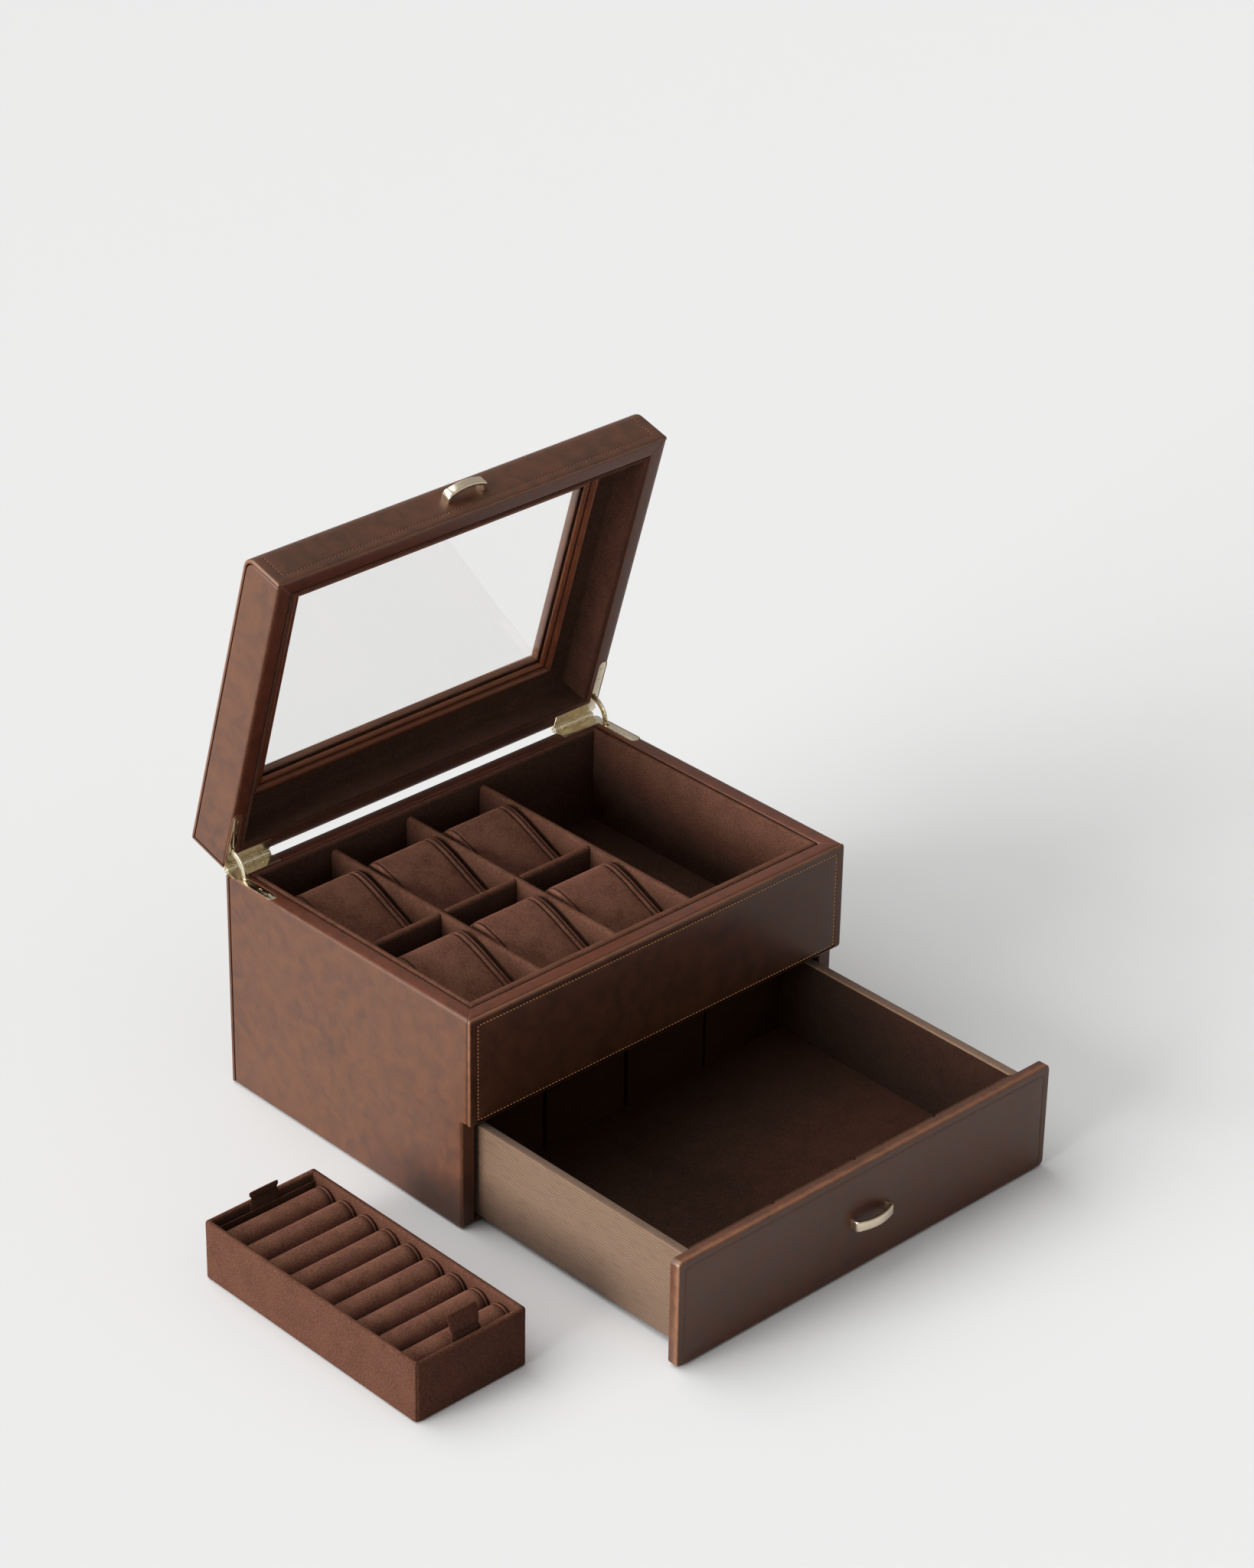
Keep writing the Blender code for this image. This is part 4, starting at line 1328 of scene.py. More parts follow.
@dataclass
class CaseBody:
    """The case below the lid: leather sides, fascia and back, the padded rim and the suede compartments."""

    palette: Palette
    half_width: float = 165.0
    front: float = -120.0
    back: float = 120.0
    board: float = 12.0
    base: float = 1.3
    top: float = 160.0
    wall_top: float = 159.6
    fascia_low: float = 81.7
    skin_back: float = -117.5
    setback: float = -111.7
    ear: float = -117.7
    wrap: float = 117.0
    core_back: float = 110.3
    shelf: float = 90.3
    divider_top: float = 155.0

    def build(self) -> None:
        """Makes every piece of the body."""
        self.make_sides()
        self.make_fascia()
        self.make_back()
        self.make_rim()
        self.make_linings()
        self.make_dividers()
        self.dress_base()

    def make_sides(self) -> None:
        """Side boards: their outline from the side, with its ear over the drawer, and eased edges."""
        corners = [
            (self.setback, self.base), (self.wrap - 0.3, self.base), (self.wrap - 0.3, self.wall_top)
        ]
        corners += [
            (self.ear + 0.1, self.wall_top),
            (self.ear + 0.1, self.fascia_low),
            (self.setback, self.fascia_low),
        ]
        outline = Outline(corners, [1.8, 3.0, 1.7, 1.7, 3.0, 1.6])
        inner = self.half_width - self.board + 0.2
        for side, name in ((-1, "left"), (1, "right")):
            steps = eased(side * self.half_width, side * inner, 1.5)
            steps[-5:, 2] = 0.0
            piece = stacked(outline, steps, Axis.X)
            make_piece(
                f"side_leather_{name}", piece, self.palette.leather, Body.CASE, [
                    f"side_panel_{name}"
                ]
            )

    def make_fascia(self) -> None:
        """The stitched front above the drawer, with the rail behind it in the same piece."""
        panel = SewnPanel(
            (-self.half_width, self.fascia_low), (self.half_width, self.top), self.skin_back, self.front,
            seam=(7.0, 7.0, 2.9, 5.6), top_edge=2.2,
        )
        rail = ((12.4, 12.4, 0.0, 0.8), -107.8), ((12.4, 12.4, 0.0, 0.8), self.skin_back + 0.1)
        piece = panel.surface(rail)
        make_piece(
            "fascia_leather", piece, self.palette.leather, Body.CASE, [
                "front_fascia", "fascia_rail"
            ]
        )
        make_piece("fascia_stitches", panel.threads(), self.palette.thread, Body.CASE)

    def make_back(self) -> None:
        """The back: a core between the sides with a leather wrap over its full width."""
        wide, inner = self.half_width, self.half_width - self.board - 0.3
        corners = [
            (-wide, self.wrap), (-inner, self.wrap), (-inner, self.core_back), (inner, self.core_back)
        ]
        corners += [(inner, self.wrap), (wide, self.wrap), (wide, self.back), (-wide, self.back)]
        outline = Outline(corners, [0.4, 0.4, 0.4, 0.4, 0.4, 0.4, 1.5, 1.5], 4)
        steps = eased(self.base, self.wall_top, 0.38)
        piece = stacked(outline, steps, Axis.Z)
        make_piece("back_leather", piece, self.palette.leather, Body.CASE, ["back_panel"])

    def make_rim(self) -> None:
        """The padded leather band on top of the walls: crowned strips, mitred at the corners."""
        strip = bulged(self.board - 0.9, self.wall_top - 0.5, self.top + 0.05, 0.3, 0.5)
        outer = self.half_width - 0.9
        low, high = (-outer, self.skin_back + 0.3), (outer, self.back - 1.0)
        front = bulged(9.7, self.wall_top - 0.5, self.top + 0.05, 0.3, 0.5)
        back = bulged(8.9, self.wall_top - 0.5, self.top + 0.05, 0.3, 0.5)
        corners = [low, (high[0], low[1]), high, (low[0], high[1])]
        names = ("front", "right", "back", "left")
        profiles = (front, strip, back, strip)
        mitres = ((1.1, 1.1), (0.88, 0.8), (1.25, 1.25), (0.8, 0.88))
        for name, profile, mitre, start, end in zip(
            names, profiles, mitres, corners, corners[1:] + corners[:1]
        ):
            surface = Surface()
            # The crown of each band is painted pale: partly scuffing, partly a painted highlight.
            rub = np.where(
                profile[:, 1] > self.wall_top - 0.1, 0.42, 0.0
            ) * (np.abs(profile[:, 0] - 4) > 3.4)
            bar(surface, start, end, profile, mitre, rub=rub)
            make_piece(f"rim_band_{name}", surface, self.palette.edge, Body.CASE)

    def make_linings(self) -> None:
        """Suede-covered boards inside the rim, with round tops and mitred corners."""
        outer_x, front, back = 152.7, -107.4, 110.0
        corners = [(-outer_x, front), (outer_x, front), (outer_x, back), (-outer_x, back)]
        names, widths = ("front", "right", "back", "left"), (6.4, 5.2, 5.0, 5.2)
        for index, (name, width) in enumerate(zip(names, widths)):
            beside = widths[index - 1], widths[(index + 1) % 4]
            profile = lipped(width, self.shelf, self.top, min(width, 5.2) / 2 - 0.05)
            # The round top is painted pale: partly scuffing, partly a painted highlight.
            rub = np.clip((profile[:, 1] - self.top + 2.2) / 2.2, 0, 1) * 0.75
            surface = Surface()
            mitre = (beside[0] / width, beside[1] / width)
            bar(
                surface,
                corners[index],
                corners[(index + 1) % 4],
                profile,
                mitre,
                rub=rub,
                pinch=0.15,
                seam=0.1,
            )
            make_piece(
                f"lining_{name}_suede", surface, self.palette.suede, Body.CASE, [f"lining_{name}"]
            )

    def make_dividers(self) -> None:
        """Suede dividers with soft round tops, long ones from front to back and short ones across."""
        profile = lipped(6.0, self.shelf, self.divider_top, 2.9)
        # The round top is painted pale: partly scuffing, partly a painted highlight.
        rub = np.clip((profile[:, 1] - self.divider_top + 3.0) / 3.0, 0, 1) * 0.7
        for number, middle in enumerate((-85.3, -20.1, 45.1), start=1):
            surface = Surface()
            bar(surface, (middle + 3, -100.8), (middle + 3, 104.8), profile, (0, 0), rub, 0.1, 0.1)
            make_piece(
                f"long_divider_{number}_suede", surface, self.palette.suede, Body.CASE,
                [f"long_divider_{number}"],
            )
            across = Surface()
            bar(across, (middle - 62.1, -5.5), (middle - 3.1, -5.5), profile, (0, 0), rub, 0.1, 0.1)
            make_piece(
                f"cross_divider_{number}_suede", across, self.palette.suede, Body.CASE,
                [f"cross_divider_{number}"],
            )

    def dress_base(self) -> None:
        """Finishes the shelf, the base and the felt under it, and the hinge plates on the case."""
        # A slightly darker copy of the lining suede: painted shade on the shelf.
        hidden = Suede(
            "shelf_suede", Coordinates.OBJECT, base=paint(57, 39, 31), stroked=paint(66, 46, 37)
        ).build()
        polish("mid_shelf", hidden, 0.2)
        polish("base_panel", Leather("base_hide", Coordinates.OBJECT).build(), 0.4)
        polish("base_felt", self.palette.felt, 0.3)
        for side, name in ((-1, "left"), (1, "right")):
            polish(f"case_hinge_leaf_{name}", self.palette.hinge, 0.25)
            polish(f"hinge_pin_{name}", self.palette.hinge, 0.15)
            polish(f"stay_{name}", self.palette.hinge, 0.2)
            screws = hinge_screws(side, 160.2, 1)
            make_piece(f"case_screws_{name}", screws, self.palette.screw, Body.CASE)
            self.make_rebate_edge(side, name)

    def make_rebate_edge(self, side: int, name: str) -> None:
        """The raised leather edge round a hinge arm, painted pale as scuffing and as a painted highlight: a
        thin cord along the rebate's outline.
        """
        surface = rebate_welt(side, self.top - 0.15, 1)
        make_piece(f"rebate_edge_{name}", surface, self.palette.edge, Body.CASE)


def rebate_welt(side: int, level: float, facing: int) -> Surface:
    """A cord of small radius along the inner and outer sides and the round end of a hinge arm.

    Its path runs up one side of the arm, round the end as a half circle and back down the other side.

    Args:
        side: -1 for left and 1 for right.
        level: of its middle.
        facing: 1 for up and -1 for down.
    Returns:
        Its skin.
    """
    middle, half, front = 160.45, 3.75, 78.2
    turn = np.linspace(0, math.pi, 17)
    around = np.stack((middle + half * np.cos(turn), front - half * np.sin(turn)), axis=1)
    near, far = [[middle + half, 113.0], [middle + half, 96.0]], [[middle - half, 96.0], [middle - half, 108.0]]
    path = np.concatenate((near, around, far))
    ahead = unit(np.gradient(path, axis=0))
    across = np.stack((-ahead[:, 1], ahead[:, 0]), axis=1)
    angle = np.arange(10) * 2 * math.pi / 10
    plan = path[:, None] + (0.55 * np.cos(angle))[None, :, None] * across[:, None]
    up = level + facing * 0.42 * np.sin(angle)
    rings = np.stack((side * plan[..., 0], plan[..., 1], np.broadcast_to(up, plan.shape[:2])), axis=-1)
    # The whole cord is painted pale: partly scuffing, partly a painted highlight.
    return Surface().loft(rings, rub=np.full(rings.shape[:2], 0.8))


@dataclass
class Pillows:
    """Six watch pillows: a round ridge at the rear with a long slope down to the front."""

    palette: Palette
    width: float = 56.2
    length: float = 88.0
    floor: float = 90.3
    columns: tuple[float, ...] = (-117.9, -52.7, 12.5)
    rows: tuple[tuple[str, float], ...] = (("front", -98.8), ("rear", 2.7))

    def profile(self) -> Array:
        """The pillow from the side, in y and z from its front lower edge."""
        corners = [
            (0.0, 0.0),
            (self.length, 0.0),
            (self.length - 0.8, 40.0),
            (74.0, 69.2),
            (51.0, 62.2),
            (1.0, 40.5),
        ]
        return rounded(corners, [4.0, 4.0, 14.0, 15.0, 60.0, 5.0], 8)

    def build(self) -> None:
        """Swells one pillow and stands a copy of it in each place."""
        seams = (19.6, 23.6, -24.4)
        pad = Pad(self.profile(), self.width - 1.6, seams, 3.4, around=84)
        surface, held = pad.surface()
        low = np.array((-self.width / 2, -0.6, 0.0))
        high = np.array((self.width / 2, self.length + 0.6, 66.0))
        shape = swelled(surface, held, PILLOW_PRESSURE, 1.6, low, high)
        for row, front in self.rows:
            for number, middle in enumerate(self.columns, start=1):
                name = f"pillow_{row}_{number}"
                moved = shape + np.array((middle, front, self.floor))
                self.make_one(name, surface, moved)

    def make_one(self, name: str, surface: Surface, points: Array) -> None:
        """One pillow at its place."""
        skin = Surface([points], surface.faces, surface.rub, surface.dip, surface.count)
        item = bpy.data.objects.new(name + "_pad", make_mesh(name + "_pad", skin, Body.CASE))
        bpy.context.scene.collection.objects.link(item)
        item.data.materials.append(self.palette.pillow)
        item.data.shade_smooth()
        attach(item, name)
        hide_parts(name)
        log.info("%s: stuffed pad", name)


@dataclass
class Lid:
    """The glass lid, built shut: leather wrap and end panels, rim band, suede lining, beads and glass."""

    palette: Palette
    half_width: float = 165.0
    front: float = -120.0
    back: float = 120.0
    low: float = 161.4
    rim: float = 160.95
    top: float = 195.0
    board: float = 12.0
    corner: float = 9.0
    wrap: float = 2.6
    window_x: float = 122.0
    window_y: float = 77.0
    seam_up: float = 6.0
    seam_in: float = 8.0
    seam_back: float = -105.0

    def build(self) -> None:
        """Makes every piece of the lid."""
        self.make_end_panels()
        self.make_wrap()
        self.make_rim()
        self.make_lining()
        self.make_beads()
        self.make_hardware()

    def make_end_panels(self) -> None:
        """The end panels inside the wrap, each with a round front corner and an eased outer edge."""
        gap = self.wrap + 0.35
        corners = [(self.front + gap, self.low - 0.1), (self.back - gap, self.low - 0.1)]
        corners += [(self.back - gap, self.top - gap), (self.front + gap, self.top - gap)]
        outline = Outline(corners, [0.8, 1.5, 1.6, self.corner - 1.8], 7)
        for side, name in ((-1, "left"), (1, "right")):
            steps = eased(side * (self.half_width + 0.1), side * (self.half_width - self.board), 1.2)
            steps[-5:, 2] = 0.0
            piece = stacked(outline, steps, Axis.X)
            make_piece(
                f"lid_end_{name}",
                piece,
                self.palette.leather,
                Body.LID,
                [f"lid_rail_{name}"],
            )

    def wrap_path(self) -> tuple[Array, Array, Array]:
        """The wrap seen from the side: up the front, round the corner, back over the top and down behind.

        Returns:
            The outer path, its outward directions, and how far along it each point is.
        """
        z0, y0, y1, z1, r = self.low, self.front, self.back, self.top, self.corner
        near = np.array([0, 0.25, 0.7, 1.4, 4.6, 5.3, 6.0, 6.7, 7.4])
        front = np.stack((np.full(11, y0), np.r_[z0 + near, z0 + 13, z0 + 19]), axis=1)
        turn = np.linspace(0, math.pi / 2, 10)
        bend = np.stack((y0 + r * (1 - np.cos(turn)), z1 - r + r * np.sin(turn)), axis=1)
        edge = np.array([0, 0.3, 0.8, 1.6, 5.0])
        w = self.window_y
        along = np.r_[-106.4, -105.7, -105.0, -104.3, -103.6, -w - edge[::-1], w + edge, 100, 110, 116]
        along = np.insert(along, 10, [-40.0, 0.0, 40.0])
        top = np.stack((along, np.full(len(along), z1)), axis=1)
        rear = 2.0
        tail = np.stack((y1 - rear * (1 - np.sin(turn[1:])), z1 - rear * (1 - np.cos(turn[1:]))), axis=1)
        down = np.stack((np.full(6, y1), np.r_[z1 - 8, z1 - 20, z0 + 1.4, z0 + 0.7, z0 + 0.25, z0]), axis=1)
        path = np.concatenate((front, bend, top, tail, down))
        ahead = unit(np.gradient(path, axis=0))
        outward = np.stack((-ahead[:, 1], ahead[:, 0]), axis=1)
        outward[: len(front)] = (-1, 0)
        outward[-len(down) :] = (1, 0)
        flat = (
            np.abs(path[:, 1] - z1) < 1e-6
        ) & (path[:, 0] > y0 + r - 0.01) & (path[:, 0] < y1 - rear + 0.01)
        outward[flat] = (0, 1)
        steps = np.r_[0, np.cumsum(np.linalg.norm(np.diff(path, axis=0), axis=1))]
        return path, outward, steps

    def make_wrap(self) -> None:
        """The leather wrap: a sheet over path and width with the window left out, given its thickness.

        The face drops as a quarter circle towards every cut edge, and as a bell along the stitched line.
        """
        path, outward, steps = self.wrap_path()
        edge = np.array([0, 0.25, 0.7, 1.3])
        seam = self.half_width - self.seam_in + np.array([-1.4, -0.7, 0, 0.7, 1.4])
        frame_edge = self.window_x + np.array([0, 0.3, 0.8, 1.6, 5.0])
        right = np.unique(np.r_[0, 60, frame_edge, 140, seam, self.half_width - edge])
        across = np.r_[-right[:0:-1], right]
        u, x = steps[:, None], across[None, :]
        y = path[:, None, 0]
        on_top = np.abs(path[:, None, 1] - self.top) < 1e-6
        seam_end = np.interp(self.seam_back, path[:40, 0], steps[:40])
        cut = np.minimum(self.half_width - np.abs(x), np.minimum(u, steps[-1] - u))
        hole = np.where(on_top, np.maximum(np.abs(x) - self.window_x, np.abs(y) - self.window_y), 99.0)
        near = np.minimum(cut, np.maximum(hole, 0))
        share = np.clip(1 - near / 1.3, 0, 1)
        line = np.minimum(
            self.half_width - self.seam_in - np.abs(x), np.minimum(u - self.seam_up, seam_end - u)
        )
        groove = bump_line(line, 0.6)
        drop = 1.3 * (1 - np.sqrt(np.clip(1 - share**2, 0, 1))) * 0.9 + 0.32 * groove
        grid_out = path[:, None, :] - drop[..., None] * outward[:, None, :]
        grid_in = path[:, None, :] - self.wrap * outward[:, None, :]
        x_all = np.broadcast_to(x, drop.shape)
        outer = np.stack((x_all, grid_out[..., 0], grid_out[..., 1]), axis=-1)
        inner = np.stack(
            (x_all, np.broadcast_to(grid_in[..., 0], drop.shape), np.broadcast_to(grid_in[..., 1], drop.shape)),
            axis=-1,
        )
        rows, columns = drop.shape
        middle_y = (path[1:, 0] + path[:-1, 0]) / 2
        middle_x = (across[1:] + across[:-1]) / 2
        flat = on_top[1:, 0] & on_top[:-1, 0]
        open_cells = (
            flat & (np.abs(middle_y) < self.window_y)
        )[:, None] & (np.abs(middle_x) < self.window_x)[None]
        surface = Surface()
        surface.add(
            np.stack((outer, inner)).reshape(-1, 3),
            sheet_faces(rows, columns, ~open_cells),
            np.concatenate((np.ravel(share**0.7 * 0.95), np.zeros(rows * columns))),
            np.concatenate((groove.ravel() * 0.45, np.zeros(rows * columns))),
        )
        make_piece(
            "lid_wrap_leather", surface, self.palette.leather, Body.LID,
            ["lid_rail_front", "lid_rail_back", "window_frame"],
        )
        self.make_threads(path, outward, steps, seam_end)
        self.make_cores()

    def make_threads(self, path: Array, outward: Array, steps: Array, seam_end: float) -> None:
        """Stitches along the front's lower edge, up both ends and back across the top."""
        inside = (steps > self.seam_up) & (steps < seam_end)
        run = np.concatenate(
            ([np.array([self.front, self.low + self.seam_up])], path[inside], [[self.seam_back, self.top]])
        )
        facing = np.concatenate(([[-1.0, 0.0]], outward[inside], [[0.0, 1.0]]))
        limit = self.half_width - self.seam_in
        surface = Surface()
        for side in (-1, 1):
            lifted = run - 0.16 * facing
            points = np.insert(lifted, 0, side * limit, axis=1)
            stitches(surface, points, np.insert(facing, 0, 0.0, axis=1))
        wide = np.array([-limit, limit])
        for point, way in (
            (run[0] - 0.16 * facing[0], facing[0]), (run[-1] - 0.16 * facing[-1], facing[-1])
        ):
            line = np.insert(np.stack((point, point)), 0, wide, axis=1)
            stitches(surface, line, (0.0, way[0], way[1]))
        make_piece("lid_stitches", surface, self.palette.dark_thread, Body.LID)

    def make_cores(self) -> None:
        """The boards behind the wrap at the front and back, and the frame round the glass."""
        inner = self.half_width - self.board - 0.3
        gap = self.wrap - 0.2
        for name, start, end in (
            ("front", self.front + gap, self.front + self.board),
            ("back", self.back - self.board, self.back - gap),
        ):
            corner = self.corner - gap if name == "front" else 1.0
            corners = [(start, self.low), (end, self.low), (end, self.top - gap), (start, self.top - gap)]
            outline = Outline(corners, [0.4, 0.4, 0.4, corner] if name == "front" else 0.4)
            piece = stacked(outline, eased(-inner, inner, 0.3), Axis.X)
            make_piece(f"lid_core_{name}", piece, self.palette.leather, Body.LID)
        profile = box_outline((12.4, 188.4), (43.4, self.top - gap), 0.8, 3)
        frame_ring = ring_of_bars((-165, -120), (165, 120), profile, pinch=0.0, seam=0.0)
        make_piece("window_board", frame_ring, self.palette.leather, Body.LID)

    def make_rim(self) -> None:
        """The padded band round the lid's lower edge, mitred at the corners."""
        profile = bulged(self.board - 0.6, self.low + 0.6, self.rim, 0.3, 0.6)
        outer = self.half_width - 0.9
        corners = [
            (-outer, self.front + 0.8),
            (outer, self.front + 0.8),
            (outer, self.back - 0.8),
            (-outer, self.back - 0.8),
        ]
        # The lower crown of each band is painted pale: partly scuffing, partly a painted highlight.
        rub = np.where(profile[:, 1] < self.low, 0.45, 0.0) * (np.abs(profile[:, 0] - 5.7) > 4.6)
        for name, start, end in zip(("front", "right", "back", "left"), corners, corners[1:] + corners[:1]):
            surface = Surface()
            bar(surface, start, end, profile, rub=rub)
            make_piece(f"lid_rim_{name}", surface, self.palette.edge, Body.LID)

    def make_lining(self) -> None:
        """The suede inside the lid: a wall, a hollow corner of radius 5 and a flat band up to the glass.

        The section is carried round the four sides as one hoop with sharp inner corners.
        """
        turn = np.linspace(0, math.pi / 2, 7)
        hollow = np.stack((15.8 + 5.2 * (1 - np.cos(turn)), 176.0 + 5.2 * np.sin(turn)), axis=1)
        section = np.concatenate(
            (
                [
                    [12.3, 162.0],
                    [12.5, 161.5],
                    [13.2, 161.15],
                    [14.6, 161.15],
                    [15.4, 161.6],
                    [15.8, 162.6],
                    [15.8, 169.0],
                ],
                hollow,
                [[26.0, 181.5], [31.2, 181.9], [31.6, 182.3], [31.6, 184.6], [12.3, 184.6]],
            )
        )
        signs = np.array([(-1, -1), (1, -1), (1, 1), (-1, 1)])
        half = np.array((self.half_width, self.back))
        plan = signs[None] * (half - section[:, :1])[:, None]
        rings = np.concatenate((plan, np.broadcast_to(section[:, None, 1:], (len(section), 4, 1))), axis=-1)
        surface = Surface()
        rub = np.zeros(len(section))
        # The lip along the lining's edge is painted pale: partly scuffing, partly a painted highlight.
        rub[1:5] = 0.6
        surface.loft(rings, rub=rub, hoop=True)
        make_piece(
            "lid_lining_suede", surface, self.palette.suede, Body.LID, ["lid_lining"], sharp=30
        )

    def make_beads(self) -> None:
        """Half-round leather beads that hold the glass: a wide one and a thin one beside it."""
        turn = np.linspace(0, math.pi, 12)

        def bead(middle: float, radius: float, base: float) -> Array:
            """A half circle on a square back, anticlockwise with up reversed."""
            arc = np.stack((middle - radius * np.cos(turn), base - radius * np.sin(turn)), axis=1)
            return np.concatenate((arc, [[middle + radius, 185.0], [middle - radius, 185.0]]))

        surface = Surface()
        for profile in (bead(35.0, 3.1, 183.4), bead(40.3, 2.0, 184.4)):
            # The beads get a faint pale edge mark and pale seams: partly scuffing, partly a painted highlight.
            ring = ring_of_bars((-165, -120), (165, 120), profile, rub=0.1, pinch=0.2, seam=0.4)
            surface.add(ring.all_points(), ring.faces, np.concatenate(ring.rub))
        make_piece("glass_beads", surface, self.palette.bead, Body.LID, ["glass_bead"])

    def make_hardware(self) -> None:
        """The glass, the hinge plates with their screws, and the pull."""
        polish("glass_pane", self.palette.glass, 0.0)
        for side, name in ((-1, "left"), (1, "right")):
            polish(f"lid_hinge_leaf_{name}", self.palette.hinge, 0.25)
            screws = hinge_screws(side, 160.8, -1)
            make_piece(f"lid_screws_{name}", screws, self.palette.screw, Body.LID)
            welt = rebate_welt(side, self.rim + 0.15, -1)
            make_piece(f"lid_rebate_edge_{name}", welt, self.palette.edge, Body.LID)
        BowPull(Grip.LID).build(self.palette)


def sheet_faces(rows: int, columns: int, kept: Array) -> Array:
    """Faces of a thick sheet on a grid: its outer and inner squares where kept, and walls along every cut.

    A wall stands on each grid edge that has a kept square on one side only.

    Args:
        rows: grid points along the first direction.
        columns: grid points along the second direction.
        kept: True for each square that is there.
    Returns:
        Corner numbers; the inner face's points follow the outer face's.
    """
    numbers = np.arange(rows * columns).reshape(rows, columns)
    inner = rows * columns
    squares = quads(rows, columns)[kept.ravel()]
    padded = np.pad(kept, 1)
    across = padded[1:, 1:-1] != padded[:-1, 1:-1]
    a, b = numbers[:, :-1][across], numbers[:, 1:][across]
    down = padded[1:-1, 1:] != padded[1:-1, :-1]
    c, d = numbers[:-1][down], numbers[1:][down]
    walls = [np.stack((p, q, q + inner, p + inner), axis=1) for p, q in ((a, b), (c, d))]
    return np.concatenate((squares, squares[:, ::-1] + inner, *walls))


@dataclass
class Drawer:
    """The drawer, built shut: a stitched leather front, linen sides and suede inside."""

    palette: Palette
    half_width: float = 165.0
    front: float = -120.0
    back_of_front: float = -112.1
    low: float = 1.3
    top: float = 78.5
    box_half: float = 150.0
    wall: float = 6.5
    box_low: float = 4.8
    box_top: float = 73.0
    box_front: float = -111.7
    box_back: float = 108.0

    def build(self) -> None:
        """Makes every piece of the drawer."""
        self.make_front()
        self.make_sides()
        # The drawer's suede is darker than the lining suede as painted shade.
        for node in ("drawer_inner_front", "drawer_back", "drawer_bottom"):
            polish(node, self.palette.drawer_suede, 0.35)
        BowPull(Grip.DRAWER).build(self.palette)

    def make_front(self) -> None:
        """The drawer front: a padded board with a crease behind its rolled top edge, and its stitches."""
        panel = SewnPanel(
            (-self.half_width, self.low), (self.half_width, self.top), self.back_of_front, self.front,
            seam=(5.5, 5.5, 4.2, 5.8), corner=3.4, top_edge=1.9,
        )
        piece = panel.surface()
        make_piece(
            "drawer_front_leather",
            piece,
            self.palette.leather,
            Body.DRAWER,
            ["drawer_front"],
        )
        make_piece(
            "drawer_stitches", panel.threads(), self.palette.dark_thread, Body.DRAWER
        )

    def make_sides(self) -> None:
        """Linen boards with eased tops and a suede sheet on their inner faces, darkened as painted shade."""
        for side, name in ((-1, "left"), (1, "right")):
            profile = lipped(self.wall, self.box_low, self.box_top, 1.3)
            surface = Surface()
            ends = (side * self.box_half, self.box_front), (side * self.box_half, self.box_back)
            start, end = ends if side > 0 else ends[::-1]
            bar(surface, start, end, profile, (0, 0), pinch=0.2, seam=0.0)
            make_piece(
                f"drawer_side_{name}_linen",
                surface,
                self.palette.linen,
                Body.DRAWER,
                [f"drawer_side_{name}"],
            )
            sheet = Surface()
            x = side * (self.box_half - self.wall)
            ends = (x, self.box_front + 6.6), (x, self.box_back - 6.6)
            start, end = ends if side > 0 else ends[::-1]
            bar(
                sheet, start, end, lipped(0.6, 11.1, self.box_top - 1.6, 0.25), (0, 0), pinch=0.02, seam=0.0
            )
            make_piece(f"drawer_lining_{name}", sheet, self.palette.inner, Body.DRAWER)


